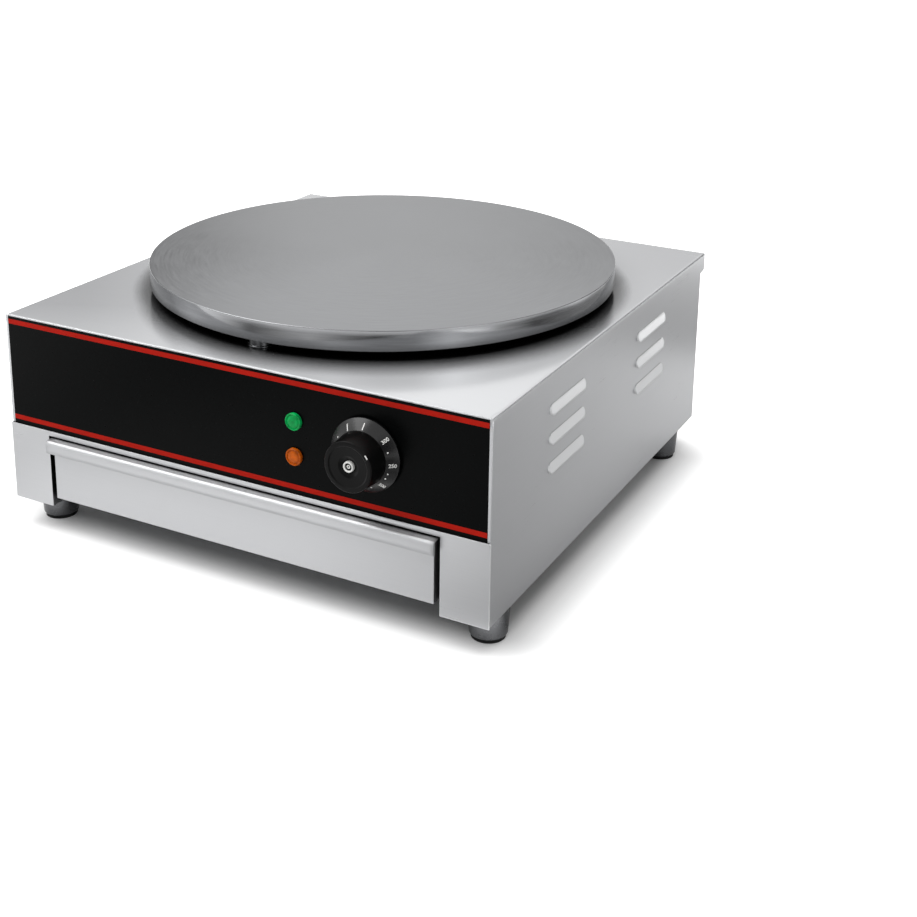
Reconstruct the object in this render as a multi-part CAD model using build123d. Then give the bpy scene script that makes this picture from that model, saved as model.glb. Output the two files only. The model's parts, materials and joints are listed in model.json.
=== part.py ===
"""Electric crepe maker: round cast griddle on a sheet-steel housing, with a drip tray below.

Millimetres, +X to the right, +Y to the back, +Z up. The origin lies on the counter under the
middle of the overall box, which runs from the knob's face to the end of the cable gland.
"""
from build123d import *
import os
from math import cos, sin, asin, radians, sqrt

# Housing: top and side sheets in one piece, open below
side_margin = 19.0
depth_margin = 38.0
top_height = 185.7
foot_height = 25.6
sheet = 1.2
bend_radius = 1.6
hem_depth = 12.0
base_flange = 42.0
flange_setback = 16.0
lip_depth = 10.0
lip_drop = 15.5
lip_slope = 1.5
panel_fit = 0.15

# Side and rear louvres
louvre_length = 66.0
louvre_height = 8.8
louvre_rise = 2.4
louvre_root = 0.4
louvre_wall = 0.8
louvre_pitch = 23.6
louvre_rows = 3
louvre_top_drop = 29.1
side_louvre_front = 128.5
side_louvre_rear = 130.4
rear_louvre_inset = 95.0

# Front: legs and strip below, printed control panel above
leg_width = 39.0
opening_height = 62.6
strip_height = 4.1
frame_overhang = 0.6
frame_return = 12.0
overlay_thickness = 0.8
fascia_return = 10.0
deck_gap = 1.2
deck_flange = 14.0

# Griddle and its three supports
plate_radius = 200.0
plate_thickness = 17.0
plate_edge = 1.0
plate_gap = 7.5
plate_offset = 5.5
support_count = 3
support_inset = 13.0
support_front_angle = -90.0
spacer_radius = 10.0
stud_radius = 4.0
stud_depth = 10.0
stud_tail = 14.0
fit_gap = 0.1

# Heater pan, insulation and the two ring elements
pan_depth = 44.0
pan_sheet = 1.0
pan_flange = 10.0
pan_flange_gap = 3.0
pan_screw_count = 6
wool_thickness = 25.0
element_tube = 4.25
element_margin = 34.0
element_pitch = 55.0
element_leg_x = 46.0
element_elbow = 14.0
element_tail = 12.0
bush_wall = 1.6
bush_length = 8.0
bush_collar = 2.5
link_width = 10.0
link_thickness = 2.0
clamp_width = 20.0
clamp_thickness = 2.5
clamp_reach = 16.0
clamp_angles = (20.0, 160.0, 215.0, 325.0)
clamp_stud_radius = 3.0

# Thermostat, its knob and its sensing bulb
knob_x = 119.7
thermostat_width = 38.0
thermostat_depth = 42.0
thermostat_height = 34.0
shaft_radius = 3.0
shaft_running_gap = 0.05
shaft_engagement = 16.0
shaft_in_grip = 9.0
shaft_hole = 5.0
fixing_half_pitch = 14.0
knob_gap = 1.2
dial_radius = 28.4
dial_edge = 2.0
dial_cone = 6.0
dial_recess_radius = 24.0
dial_recess = 4.5
dial_boss = 7.5
grip_base_radius = 20.8
grip_tip_radius = 19.3
grip_length = 17.8
grip_edge = 1.0
grip_dish_radius = 15.0
grip_dish = 1.0
insert_radius = 4.6
insert_depth = 2.5
insert_height = 1.9
bulb_radius = 3.0
bulb_length = 80.0
bulb_gap = 0.2
clip_width = 8.0
clip_wall = 1.5
clip_ear = 7.0
clip_spread = 26.0
capillary_radius = 1.0

# Indicator lamps
lamp_x = 57.8
lamp_pitch = 27.9
lamp_drop = 1.9
lens_radius = 6.8
lens_height = 2.6
lens_groove = 0.7
barrel_radius = 5.0
barrel_length = 28.0
lamp_nut_size = 15.0
lamp_nut_height = 4.0

# Wiring inside the housing
wire_radius = 1.6
block_x = -105.0
block_width = 40.0
block_depth = 20.0
block_height = 20.0
block_setback = 40.0
low_wire_height = 10.0
high_wire_height = 18.0

# Rear fittings
gland_x = -140.0
gland_rise = 25.0
gland_bore = 4.6
gland_thread = 8.0
gland_size = 22.0
gland_hex = 5.0
gland_thread_out = 7.0
gland_thread_in = 9.0
gland_locknut_height = 5.0
gland_seal_length = 6.0
gland_mouth = 6.0
gland_tip_radius = 7.5
bond_x = -60.0
bond_radius = 3.0
bond_inside = 14.0
bond_outside = 20.0
bond_tip = 0.5
bond_collar = 10.0
screw_radius = 2.0
screw_head_radius = 3.8
screw_head_height = 2.2
rear_flange = 14.0
rear_screw_margin = 20.0

# Proportions of nuts, washers and screws, from the thread radius
nut_across = 3.25
nut_height = 1.6
washer_height = 0.4

# Drip tray
drawer_side_gap = 4.8
drawer_rise = 8.4
drawer_top_gap = 1.8
drawer_return = 10.0
handle_reach = 6.6
handle_height = 9.0
handle_slope = 1.5
handle_overhang = 2.7
tray_inset = 1.6
tray_sheet = 1.0
tray_lift = 2.9
tray_wall_gap = 2.5
tray_rear_gap = 43.0
tray_rest_gap = 0.3
tray_guide_gap = 0.5
runner_web_height = 34.0
runner_ledge = 12.0
runner_foot = 15.0
runner_setback = 16.0

# Feet
foot_inset = 16.0
foot_setback = 32.5
foot_rear_setback = 43.0
foot_top_radius = 16.0
foot_base_radius = 14.4
foot_edge = 2.2
pad_radius = 13.0
pad_height = 2.5
foot_bolt_radius = 4.0
foot_bolt_head = 6.0
foot_bolt_size = 13.0

# Lines and levels that follow from the sizes above
knob_reach = knob_gap + dial_edge + dial_cone + grip_length
body_width = 2 * (plate_radius + side_margin)
body_depth = 2 * plate_radius + depth_margin
gland_nut_length = gland_thread_out + gland_seal_length + gland_mouth
gland_reach = gland_hex + gland_nut_length
front = knob_reach - (knob_reach + body_depth + gland_reach) / 2
rear = front + body_depth
half_width = body_width / 2
inner_half = half_width - sheet
opening_top = foot_height + opening_height
strip_top = opening_top + strip_height
deck_under = opening_top + deck_gap
deck_top = deck_under + sheet
roof_under = top_height - sheet
panel_z = (strip_top + roof_under) / 2
fascia_front = front + overlay_thickness
fascia_back = fascia_front + sheet
plate_y = front + (body_depth + lip_depth) / 2 + plate_offset
plate_under = top_height + plate_gap
support_circle = plate_radius - support_inset
pan_radius = support_circle - spacer_radius - pan_flange_gap - pan_flange
pan_under = top_height - pan_depth
element_outer = pan_radius - element_margin
element_inner = element_outer - element_pitch
element_z = plate_under - fit_gap - element_tube
element_end_z = pan_under - element_tail
clamp_top = element_z - element_tube
bulb_y = plate_y - (element_outer - element_pitch / 2)
bulb_z = plate_under - bulb_gap - bulb_radius
opening_half = half_width - leg_width
drawer_half = opening_half - drawer_side_gap
drawer_under = foot_height + drawer_rise
drawer_top = opening_top - drawer_top_gap
tray_half = drawer_half - tray_inset
tray_depth = body_depth - tray_rear_gap
tray_under = drawer_under + tray_lift
runner_web = tray_half + tray_guide_gap
thermostat_back = fascia_back + thermostat_depth
thermostat_under = panel_z - thermostat_height / 2
gland_z = deck_top + gland_rise
block_front = rear - block_setback - block_depth
low_wire_z = deck_top + low_wire_height
high_wire_z = deck_top + high_wire_height


def block(x0, x1, y0, y1, z0, z1):
    """Box between two opposite corners."""
    return Pos((x0 + x1) / 2, (y0 + y1) / 2, (z0 + z1) / 2) * Box(x1 - x0, y1 - y0, z1 - z0)


def upright(radius, x, y, z0, z1):
    """Round bar along Z."""
    return Pos(x, y, (z0 + z1) / 2) * Cylinder(radius, z1 - z0)


def lengthways(radius, x, z, y0, y1):
    """Round bar along Y."""
    return Pos(x, (y0 + y1) / 2, z) * Rot(90, 0, 0) * Cylinder(radius, y1 - y0)


def hex_upright(size, x, y, z0, z1):
    """Hexagon bar along Z, size across its flats."""
    return Pos(x, y, z0) * extrude(RegularPolygon(size / 2, 6, major_radius=False), z1 - z0)


def hex_lengthways(size, x, z, y0, y1):
    """Hexagon bar along Y, size across its flats."""
    return Pos(x, y1, z) * Rot(90, 0, 0) * extrude(RegularPolygon(size / 2, 6, major_radius=False), y1 - y0)


def side_profile(points, x0, x1):
    """Prism along X of a closed outline given as (y, z) points."""
    outline = Polyline([(y, z) for y, z in points], close=True)
    return Pos(x0, 0, 0) * extrude(Plane.YZ * make_face(outline), x1 - x0)


def turned_y(points, x, z):
    """Body of revolution about a line along Y, from (radius, y) points."""
    outline = Polyline([(radius, y) for radius, y in points], close=True)
    return Pos(x, 0, z) * revolve(make_face(outline), Axis.Y)


def both_sides(solid):
    """The solid and its mirror image across the middle plane."""
    return solid + mirror(solid, Plane.YZ)


def on_circle(radius, degrees):
    """Point on a circle about the griddle's axis."""
    return radius * cos(radians(degrees)), plate_y + radius * sin(radians(degrees))


support_points = [on_circle(support_circle, support_front_angle + 360 / support_count * i)
                  for i in range(support_count)]
pan_screw_circle = pan_radius + pan_flange / 2
pan_screw_points = [on_circle(pan_screw_circle, 360 / pan_screw_count * (i + 0.25))
                    for i in range(pan_screw_count)]
clamp_points = [on_circle((element_outer + element_inner) / 2, angle) for angle in clamp_angles]
louvre_levels = [top_height - louvre_top_drop - louvre_pitch * i for i in range(louvre_rows)]
lamp_z = panel_z - lamp_drop
lamp_levels = {"power": lamp_z + lamp_pitch / 2, "heating": lamp_z - lamp_pitch / 2}
thermostat_fixings = [(knob_x - fixing_half_pitch, panel_z), (knob_x + fixing_half_pitch, panel_z)]
foot_points = {
    "front_left": (-half_width + foot_inset, front + foot_setback),
    "front_right": (half_width - foot_inset, front + foot_setback),
    "rear_left": (-half_width + foot_inset, rear - foot_rear_setback),
    "rear_right": (half_width - foot_inset, rear - foot_rear_setback),
}
rear_screw_x = inner_half - rear_flange / 2
rear_screw_ends = (foot_height + rear_screw_margin, roof_under - rear_screw_margin)
rear_screw_levels = [rear_screw_ends[0], sum(rear_screw_ends) / 2, rear_screw_ends[1]]


def leg_point(ring_radius, side):
    """Where a ring element's tail goes down: side is -1 or 1, at the back of the ring."""
    return side * element_leg_x, plate_y + ring_end(ring_radius)[1] + ring_tangent(ring_radius)[1]


def ring_end(ring_radius):
    """End of a ring's arc on the +X side, from the griddle's axis; its tail curves on from here."""
    elbow_radius = sqrt(ring_radius ** 2 + element_elbow ** 2)
    angle = asin(element_leg_x / elbow_radius)
    swing = asin(element_elbow / elbow_radius)
    return ring_radius * sin(angle + swing), ring_radius * cos(angle + swing)


def ring_tangent(ring_radius):
    """Offset from the arc's end to the tail, along the tangent towards the gap."""
    end_x, end_y = ring_end(ring_radius)
    return -element_elbow * end_y / ring_radius, element_elbow * end_x / ring_radius


# ---------------------------------------------------------------- housing


def louvre():
    """One pressed hood on the face x = 0, open below, centred on the origin; and its slot."""
    outline = Plane.YZ * SlotOverall(louvre_length, louvre_height)
    inner = Plane.YZ * SlotOverall(louvre_length - 2 * louvre_wall, louvre_height - 2 * louvre_wall)
    half = louvre_height / 2

    def wedge(lift):
        slope = (louvre_rise - louvre_root) / 2
        near, far = louvre_rise + slope + lift, louvre_root - slope + lift
        outline = Polyline([(-sheet * 2, -half * 2), (near, -half * 2), (far, half * 2), (-sheet * 2, half * 2)],
                           close=True)
        return extrude(Plane.XZ * make_face(outline), louvre_length, both=True)

    hood = extrude(outline, louvre_rise * 2) & wedge(0)
    hollow = Pos(-sheet * 2, 0, 0) * extrude(inner, sheet * 2 + louvre_rise * 2) & wedge(-louvre_wall)
    mouth_half = (louvre_length - louvre_height) / 2
    mouth = block(0, louvre_rise * 2, -mouth_half, mouth_half, -half * 1.5, 0) & wedge(-louvre_wall)
    return hood, hollow, mouth


def add_louvres(panel, places):
    """Press hoods into a sheet at each place, a location that turns +X to the sheet's outside."""
    hood, hollow, mouth = louvre()
    for place in places:
        panel = panel + place * hood - place * hollow - place * mouth
    return panel


def housing_wrapper():
    """Top and side sheets bent from one blank, with the rear lip, hems and foot flanges."""
    lip_end = rear + lip_depth
    lip_under = top_height - lip_drop
    root_z = lip_under - lip_slope
    outside = side_profile([(front, foot_height), (front, top_height), (lip_end, top_height),
                            (lip_end, lip_under), (rear, root_z), (rear, foot_height)],
                           -half_width, half_width)
    long_edges = outside.edges().filter_by(Axis.Y).group_by(Axis.Z)[-1]
    outside = fillet(long_edges, bend_radius)
    inside = side_profile([(front - sheet, foot_height - sheet), (front - sheet, roof_under),
                           (lip_end - sheet, roof_under), (lip_end - sheet, lip_under + sheet),
                           (rear, root_z + sheet), (rear, foot_height - sheet)],
                          -inner_half, inner_half)
    wrapper = outside - inside
    hem = block(inner_half - sheet, inner_half, front, front + hem_depth, foot_height, roof_under)
    rear_tab = block(inner_half - rear_flange, inner_half, rear - 2 * sheet, rear - sheet,
                     foot_height, roof_under)
    foot_flange = block(half_width - base_flange, inner_half, front + flange_setback, rear - 2 * sheet,
                        foot_height, foot_height + sheet)
    wrapper += both_sides(hem + rear_tab + foot_flange)
    wrapper -= upright(pan_radius + fit_gap, 0, plate_y, roof_under - sheet, top_height + sheet)
    for x, y in support_points:
        wrapper -= upright(stud_radius + fit_gap, x, y, roof_under - sheet, top_height + sheet)
    for x, y in pan_screw_points:
        wrapper -= upright(screw_radius + fit_gap, x, y, roof_under - sheet, top_height + sheet)
    for x, y in foot_points.values():
        wrapper -= upright(foot_bolt_radius + fit_gap, x, y, foot_height - sheet, foot_height + 2 * sheet)
    for side in (-1, 1):
        for level in rear_screw_levels:
            wrapper -= lengthways(screw_radius + fit_gap, side * rear_screw_x, level, rear - 3 * sheet, rear)
    columns = [front + side_louvre_front, rear - side_louvre_rear]
    right = [Pos(half_width, y, z) for y in columns for z in louvre_levels]
    left = [Pos(-half_width, y, z) * Rot(0, 0, 180) for y in columns for z in louvre_levels]
    return add_louvres(wrapper, right + left)


def lower_front_frame():
    """Legs and cross strip around the drawer opening, standing proud of the control panel."""
    frame_half = half_width + frame_overhang
    frame = block(-frame_half, frame_half, front - sheet, front, foot_height, strip_top)
    frame -= block(-opening_half, opening_half, front - 2 * sheet, front + sheet,
                   foot_height - sheet, opening_top)
    leg_return = block(opening_half, opening_half + sheet, front, front + frame_return,
                       foot_height, opening_top)
    return frame + both_sides(leg_return)


def front_fascia():
    """Steel carrier behind the printed panel, with returns along its top and bottom."""
    side = inner_half - sheet - panel_fit
    low, high = deck_top, roof_under
    fascia = block(-side, side, fascia_front, fascia_back, low, high)
    fascia += block(-side, side, fascia_back, fascia_back + fascia_return, low, low + sheet)
    fascia += block(-side, side, fascia_back, fascia_back + fascia_return, high - sheet, high)
    return fascia - panel_holes()


def control_overlay():
    """Printed film that lies flush between the housing's front edges."""
    side = inner_half - sheet - panel_fit
    return block(-side, side, front, fascia_front, strip_top, roof_under) - panel_holes()


def panel_holes():
    """Holes shared by the fascia and its overlay."""
    near, far = front - sheet, fascia_back + sheet
    holes = lengthways(shaft_hole, knob_x, panel_z, near, far)
    for level in lamp_levels.values():
        holes += lengthways(barrel_radius + fit_gap, lamp_x, level, near, far)
    for x, z in thermostat_fixings:
        holes += lengthways(screw_radius + fit_gap, x, z, near, far)
    return holes


def inner_deck():
    """Shelf between the wiring space and the tray bay, with upturned sides."""
    deck_half = inner_half - panel_fit
    back = rear - 2 * sheet
    deck = block(-deck_half, deck_half, front + hem_depth, back, deck_under, deck_top)
    deck += block(-deck_half + hem_depth, deck_half - hem_depth, front, front + hem_depth,
                  deck_under, deck_top)
    upturn = block(deck_half - sheet, deck_half, front + hem_depth, back - rear_flange, deck_top,
                   deck_top + deck_flange)
    deck += both_sides(upturn)
    for x in block_screw_points():
        deck -= upright(screw_radius + fit_gap, x, block_front + block_depth / 2, deck_under - sheet,
                        deck_top + sheet)
    return deck


def rear_panel():
    """Flat back sheet screwed to the side tabs, with louvres and the two fitting holes."""
    panel_half = inner_half - panel_fit
    panel = block(-panel_half, panel_half, rear - sheet, rear, foot_height, roof_under)
    panel -= lengthways(gland_thread + fit_gap, gland_x, gland_z, rear - 2 * sheet, rear + sheet)
    panel -= lengthways(bond_radius + fit_gap, bond_x, gland_z, rear - 2 * sheet, rear + sheet)
    for side in (-1, 1):
        for level in rear_screw_levels:
            panel -= lengthways(screw_radius + fit_gap, side * rear_screw_x, level,
                                rear - 2 * sheet, rear + sheet)
    level = (gland_z + gland_size / 2 + roof_under) / 2
    places = [Pos(side * (half_width - rear_louvre_inset), rear, level) * Rot(0, 0, 90) for side in (-1, 1)]
    return add_louvres(panel, places)


def rear_panel_screws():
    """Pan-head screws that hold the rear panel."""
    screws = []
    for side in (-1, 1):
        for level in rear_screw_levels:
            x = side * rear_screw_x
            screw = lengthways(screw_radius, x, level, rear - 3 * sheet, rear + fit_gap)
            head = lengthways(screw_head_radius, x, level, rear, rear + screw_head_height)
            head = fillet(head.edges().group_by(Axis.Y)[-1], screw_head_height / 2)
            slot = block(x - screw_head_radius, x + screw_head_radius, rear + screw_head_height * 0.6,
                         rear + screw_head_height * 2, level - fit_gap * 4, level + fit_gap * 4)
            screws.append(screw + head - slot)
    return Compound(screws)


# ---------------------------------------------------------------- griddle and heater


def griddle_plate():
    """Cast disc with blind holes below for its studs."""
    plate = upright(plate_radius, 0, plate_y, plate_under, plate_under + plate_thickness)
    plate = fillet(plate.edges(), plate_edge)
    for x, y in support_points:
        plate -= upright(stud_radius + fit_gap, x, y, plate_under - sheet, plate_under + stud_depth)
    for x, y in clamp_points:
        plate -= upright(clamp_stud_radius + fit_gap, x, y, plate_under - sheet, plate_under + stud_depth)
    return plate


def plate_spacers():
    """Short round posts that hold the griddle off the top sheet."""
    spacers = []
    for x, y in support_points:
        spacer = upright(spacer_radius, x, y, top_height, plate_under)
        spacers.append(spacer - upright(stud_radius + fit_gap, x, y, top_height - sheet, plate_under + sheet))
    return Compound(spacers)


def plate_studs():
    """Studs from the griddle through the spacers and the top sheet."""
    return Compound([upright(stud_radius, x, y, roof_under - stud_tail, plate_under + stud_depth)
                     for x, y in support_points])


def plate_washers():
    """Wide washers under the top sheet."""
    washer = stud_radius * washer_height
    return Compound([upright(spacer_radius, x, y, roof_under - washer, roof_under)
                     - upright(stud_radius + fit_gap, x, y, roof_under - 2 * washer, top_height)
                     for x, y in support_points])


def plate_nuts():
    """Nuts that pull the griddle down."""
    high = roof_under - stud_radius * washer_height
    low = high - stud_radius * nut_height
    return Compound([hex_upright(stud_radius * nut_across, x, y, low, high)
                     - upright(stud_radius + fit_gap, x, y, low - sheet, high + sheet)
                     for x, y in support_points])


def element_leg_points():
    """Every place where an element's tail passes through the insulation and the pan."""
    return [leg_point(ring, side) for ring in (element_outer, element_inner) for side in (-1, 1)]


def capillary_points():
    """Corner points of the capillary, from the bulb's end to the thermostat's back."""
    drop_x = bulb_length / 2 + 5 * bulb_radius + 5 * capillary_radius
    low_z = pan_under - element_tail * 2.5
    entry_z = panel_z - thermostat_height / 4
    middle_y = (bulb_y + thermostat_back) / 2
    return [(bulb_length / 2, bulb_y, bulb_z), (drop_x, bulb_y, bulb_z), (drop_x, bulb_y, low_z),
            (knob_x, middle_y, low_z), (knob_x, thermostat_back + 20 * capillary_radius, entry_z),
            (knob_x, thermostat_back, entry_z)]


def heater_pan():
    """Dish that hangs in the top sheet's round opening and holds the heater."""
    pan = upright(pan_radius, 0, plate_y, pan_under, top_height)
    pan -= upright(pan_radius - pan_sheet, 0, plate_y, pan_under + pan_sheet, top_height + pan_sheet)
    flange = upright(pan_radius + pan_flange, 0, plate_y, top_height, top_height + pan_sheet)
    pan += flange - upright(pan_radius - pan_sheet, 0, plate_y, top_height - sheet, top_height + 2 * sheet)
    bush_hole = element_tube + fit_gap + bush_wall + fit_gap
    for x, y in element_leg_points():
        pan -= upright(bush_hole, x, y, pan_under - sheet, pan_under + 2 * sheet)
    for x, y in pan_screw_points:
        pan -= upright(screw_radius + fit_gap, x, y, top_height - sheet, top_height + 2 * sheet)
    drop = capillary_points()[1]
    return pan - upright(capillary_radius * 3, drop[0], drop[1], pan_under - sheet, pan_under + 2 * sheet)


def pan_screws():
    """Screws through the pan's flange into the top sheet."""
    screws = []
    seat = top_height + pan_sheet
    for x, y in pan_screw_points:
        head = upright(screw_head_radius, x, y, seat, seat + screw_head_height)
        head = fillet(head.edges().group_by(Axis.Z)[-1], screw_head_height / 2)
        screws.append(head + upright(screw_radius, x, y, roof_under - 2 * sheet, seat + fit_gap))
    return Compound(screws)


def insulation_blanket():
    """Ceramic wool disc on the pan's floor."""
    low = pan_under + pan_sheet
    wool = upright(pan_radius - 2 * pan_sheet, 0, plate_y, low, low + wool_thickness)
    for x, y in element_leg_points():
        wool -= upright(element_tube + bush_wall * 2, x, y, low - sheet, low + wool_thickness + sheet)
    drop = capillary_points()[1]
    return wool - upright(capillary_radius * 3, drop[0], drop[1], low - sheet, low + wool_thickness + sheet)


def heating_element(ring_radius):
    """Tubular ring with a gap at the back, where both tails turn down."""
    end_x, end_y = ring_end(ring_radius)
    leg_x, leg_y = leg_point(ring_radius, 1)
    right_end = (end_x, plate_y + end_y, element_z)
    left_end = (-end_x, plate_y + end_y, element_z)
    tail = Line((leg_x, leg_y, element_end_z), (leg_x, leg_y, element_z - element_elbow))
    elbow = TangentArc(tail @ 1, right_end, tangent=(0, 0, 1))
    ring = ThreePointArc(right_end, (0, plate_y - ring_radius, element_z), left_end)
    last_elbow = TangentArc(left_end, (-leg_x, leg_y, element_z - element_elbow), tangent=ring % 1)
    last_tail = Line(last_elbow @ 1, (-leg_x, leg_y, element_end_z))
    path = Wire([tail, elbow, ring, last_elbow, last_tail])
    section = Plane(origin=tail @ 0, z_dir=(0, 0, 1)) * Circle(element_tube)
    return sweep(section, path=path)


def element_bushes():
    """Ceramic bushes that keep the tails clear of the pan."""
    bushes = []
    inner = element_tube + fit_gap
    for x, y in element_leg_points():
        bush = upright(inner + bush_wall, x, y, pan_under - bush_length / 2, pan_under + bush_length / 2)
        bush += upright(inner + bush_wall * 2, x, y, pan_under - bush_collar, pan_under)
        bushes.append(bush - upright(inner, x, y, pan_under - bush_length, pan_under + bush_length))
    return Compound(bushes)


def element_links():
    """Two straps that join the rings' tails in parallel."""
    straps = []
    for side in (-1, 1):
        x, outer_y = leg_point(element_outer, side)
        inner_y = leg_point(element_inner, side)[1]
        margin = link_width / 2
        straps.append(block(x - margin, x + margin, inner_y - margin, outer_y + margin,
                            element_end_z - link_thickness, element_end_z))
    return Compound(straps)


def clamp_bars():
    """Radial bars that press both rings up against the griddle."""
    bars = []
    start = element_inner - clamp_reach
    finish = element_outer + clamp_reach
    for angle, (x, y) in zip(clamp_angles, clamp_points):
        bar = block(start, finish, -clamp_width / 2, clamp_width / 2, clamp_top - clamp_thickness, clamp_top)
        bar = Pos(0, plate_y, 0) * Rot(0, 0, angle) * bar
        bar -= upright(clamp_stud_radius + fit_gap, x, y, clamp_top - 2 * clamp_thickness, clamp_top + sheet)
        bars.append(bar)
    return Compound(bars)


def clamp_studs():
    """Studs that carry the clamp bars."""
    low = clamp_top - clamp_thickness - clamp_stud_radius * (nut_height + 1)
    return Compound([upright(clamp_stud_radius, x, y, low, plate_under + stud_depth)
                     for x, y in clamp_points])


def clamp_nuts():
    """Nuts under the clamp bars."""
    high = clamp_top - clamp_thickness
    low = high - clamp_stud_radius * nut_height
    return Compound([hex_upright(clamp_stud_radius * nut_across, x, y, low, high)
                     - upright(clamp_stud_radius + fit_gap, x, y, low - sheet, high + sheet)
                     for x, y in clamp_points])


# ---------------------------------------------------------------- thermostat and knob


def thermostat_body():
    """Switch block behind the fascia, with the shaft's bearing bore and two tapped holes."""
    x0, x1 = knob_x - thermostat_width / 2, knob_x + thermostat_width / 2
    body = block(x0, x1, fascia_back, thermostat_back, thermostat_under, thermostat_under + thermostat_height)
    body = fillet(body.edges().filter_by(Axis.Y), bend_radius)
    bore = lengthways(shaft_radius + shaft_running_gap, knob_x, panel_z, fascia_back - sheet,
                      fascia_back + shaft_engagement + fit_gap * 3)
    body -= bore
    for x, z in thermostat_fixings:
        body -= lengthways(screw_radius + fit_gap, x, z, fascia_back - sheet, fascia_back + shaft_engagement / 2)
    return body


def thermostat_screws():
    """Screws from the front, hidden inside the knob's hollow back."""
    screws = []
    for x, z in thermostat_fixings:
        head = lengthways(screw_head_radius, x, z, front - screw_head_height, front)
        shank = lengthways(screw_radius, x, z, front - fit_gap, fascia_back + shaft_engagement / 2 - fit_gap)
        screws.append(head + shank)
    return Compound(screws)


dial_back = front - knob_gap
dial_front = dial_back - dial_edge - dial_cone
grip_face = dial_front - grip_length
shaft_tip = dial_front - shaft_in_grip


def shaft_section():
    """The shaft's round with its drive flat, as a long prism along Y."""
    flat = shaft_radius / 2
    prism = lengthways(shaft_radius, knob_x, panel_z, shaft_tip, dial_back)
    return prism - block(knob_x - shaft_radius, knob_x + shaft_radius, shaft_tip - sheet, dial_back + sheet,
                         panel_z + flat, panel_z + 2 * shaft_radius)


def thermostat_shaft():
    """Spindle from the thermostat's bore to the grip, flatted where the knob drives it."""
    return shaft_section() + lengthways(shaft_radius, knob_x, panel_z, dial_back, fascia_back + shaft_engagement)


def knob_dial():
    """Conical skirt that carries the scale, hollow behind, on a boss around the shaft."""
    bevel = dial_back - dial_edge
    skirt = turned_y([(0, dial_back), (dial_radius, dial_back), (dial_radius, bevel),
                      (grip_base_radius, dial_front), (0, dial_front)], knob_x, panel_z)
    recess = turned_y([(dial_boss, dial_back + sheet), (dial_recess_radius, dial_back + sheet),
                       (dial_recess_radius, dial_back - dial_recess), (dial_boss, dial_back - dial_recess)],
                      knob_x, panel_z)
    return skirt - recess - shaft_section()


def knob_grip():
    """Tapered drum with a dished face and a round pocket for the insert."""
    grip = turned_y([(0, dial_front), (grip_base_radius, dial_front), (grip_tip_radius, grip_face),
                     (0, grip_face)], knob_x, panel_z)
    grip = fillet(grip.edges().group_by(Axis.Y)[0], grip_edge)
    grip -= lengthways(grip_dish_radius, knob_x, panel_z, grip_face - sheet, grip_face + grip_dish)
    pocket = grip_face + grip_dish + insert_depth
    grip -= lengthways(insert_radius + fit_gap, knob_x, panel_z, grip_face - sheet, pocket)
    return grip - shaft_section()


def knob_insert():
    """Round plug with a raised rim in the middle of the grip."""
    seat = grip_face + grip_dish + insert_depth
    rim = insert_radius * 0.7
    plug = lengthways(insert_radius, knob_x, panel_z, seat - insert_height, seat)
    return plug - (lengthways(rim, knob_x, panel_z, seat - 2 * insert_height, seat - insert_height / 2)
                   - lengthways(rim / 2, knob_x, panel_z, seat - 3 * insert_height, seat))


def sensing_bulb():
    """Thermostat bulb between the two rings, just under the griddle."""
    return Pos(0, bulb_y, bulb_z) * Rot(0, 90, 0) * Cylinder(bulb_radius, bulb_length)


def bulb_clips():
    """Two saddles that hold the bulb against the griddle."""
    clips = []
    bore = Pos(0, bulb_y, bulb_z) * Rot(0, 90, 0) * Cylinder(bulb_radius + fit_gap, 2 * bulb_length)
    reach = bulb_radius + clip_wall
    for side in (-1, 1):
        x0 = side * clip_spread - clip_width / 2
        x1 = x0 + clip_width
        clip = block(x0, x1, bulb_y - reach, bulb_y + reach, bulb_z - reach, plate_under)
        clip += block(x0, x1, bulb_y - reach - clip_ear, bulb_y + reach + clip_ear, plate_under - clip_wall,
                      plate_under)
        clips.append(clip - bore)
    return Compound(clips)


def tube(points, radii, radius):
    """Round wire along straight runs joined by tangent arcs."""
    path = FilletPolyline(*points, radius=radii)
    section = Plane(origin=path @ 0, z_dir=path % 0) * Circle(radius)
    return sweep(section, path=path)


def capillary_tube():
    """Thin copper tube from the bulb to the thermostat's back."""
    bends = [6 * capillary_radius, 12 * capillary_radius, 14 * capillary_radius, 6 * capillary_radius]
    return tube(capillary_points(), bends, capillary_radius)


# ---------------------------------------------------------------- lamps


def lamp_lens(level):
    """Round lens with a raised rim, a groove and a low domed middle."""
    rim = lens_radius * 0.9
    shoulder = lens_radius * 0.78
    base = front - lens_height
    return turned_y([(0, front), (lens_radius, front), (lens_radius, base + lens_groove), (rim, base),
                     (shoulder, base + lens_groove), (shoulder * 0.9, base + lens_groove * 0.4),
                     (shoulder * 0.5, base), (0, base)], lamp_x, level)


def lamp_body(level):
    """Barrel through the panel, stepped down to its two terminals."""
    barrel = lengthways(barrel_radius, lamp_x, level, front, front + barrel_length)
    tail = lengthways(barrel_radius * 0.6, lamp_x, level, front + barrel_length, front + barrel_length * 1.1)
    return barrel + tail


def lamp_nut(level):
    """Nut that holds the lamp against the fascia's back."""
    return (hex_lengthways(lamp_nut_size, lamp_x, level, fascia_back, fascia_back + lamp_nut_height)
            - lengthways(barrel_radius + fit_gap, lamp_x, level, fascia_back - sheet,
                         fascia_back + 2 * lamp_nut_height))


# ---------------------------------------------------------------- wiring


def block_screw_points():
    """Where the terminal block's screws stand."""
    return [block_x - block_width * 0.42, block_x + block_width * 0.42]


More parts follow.
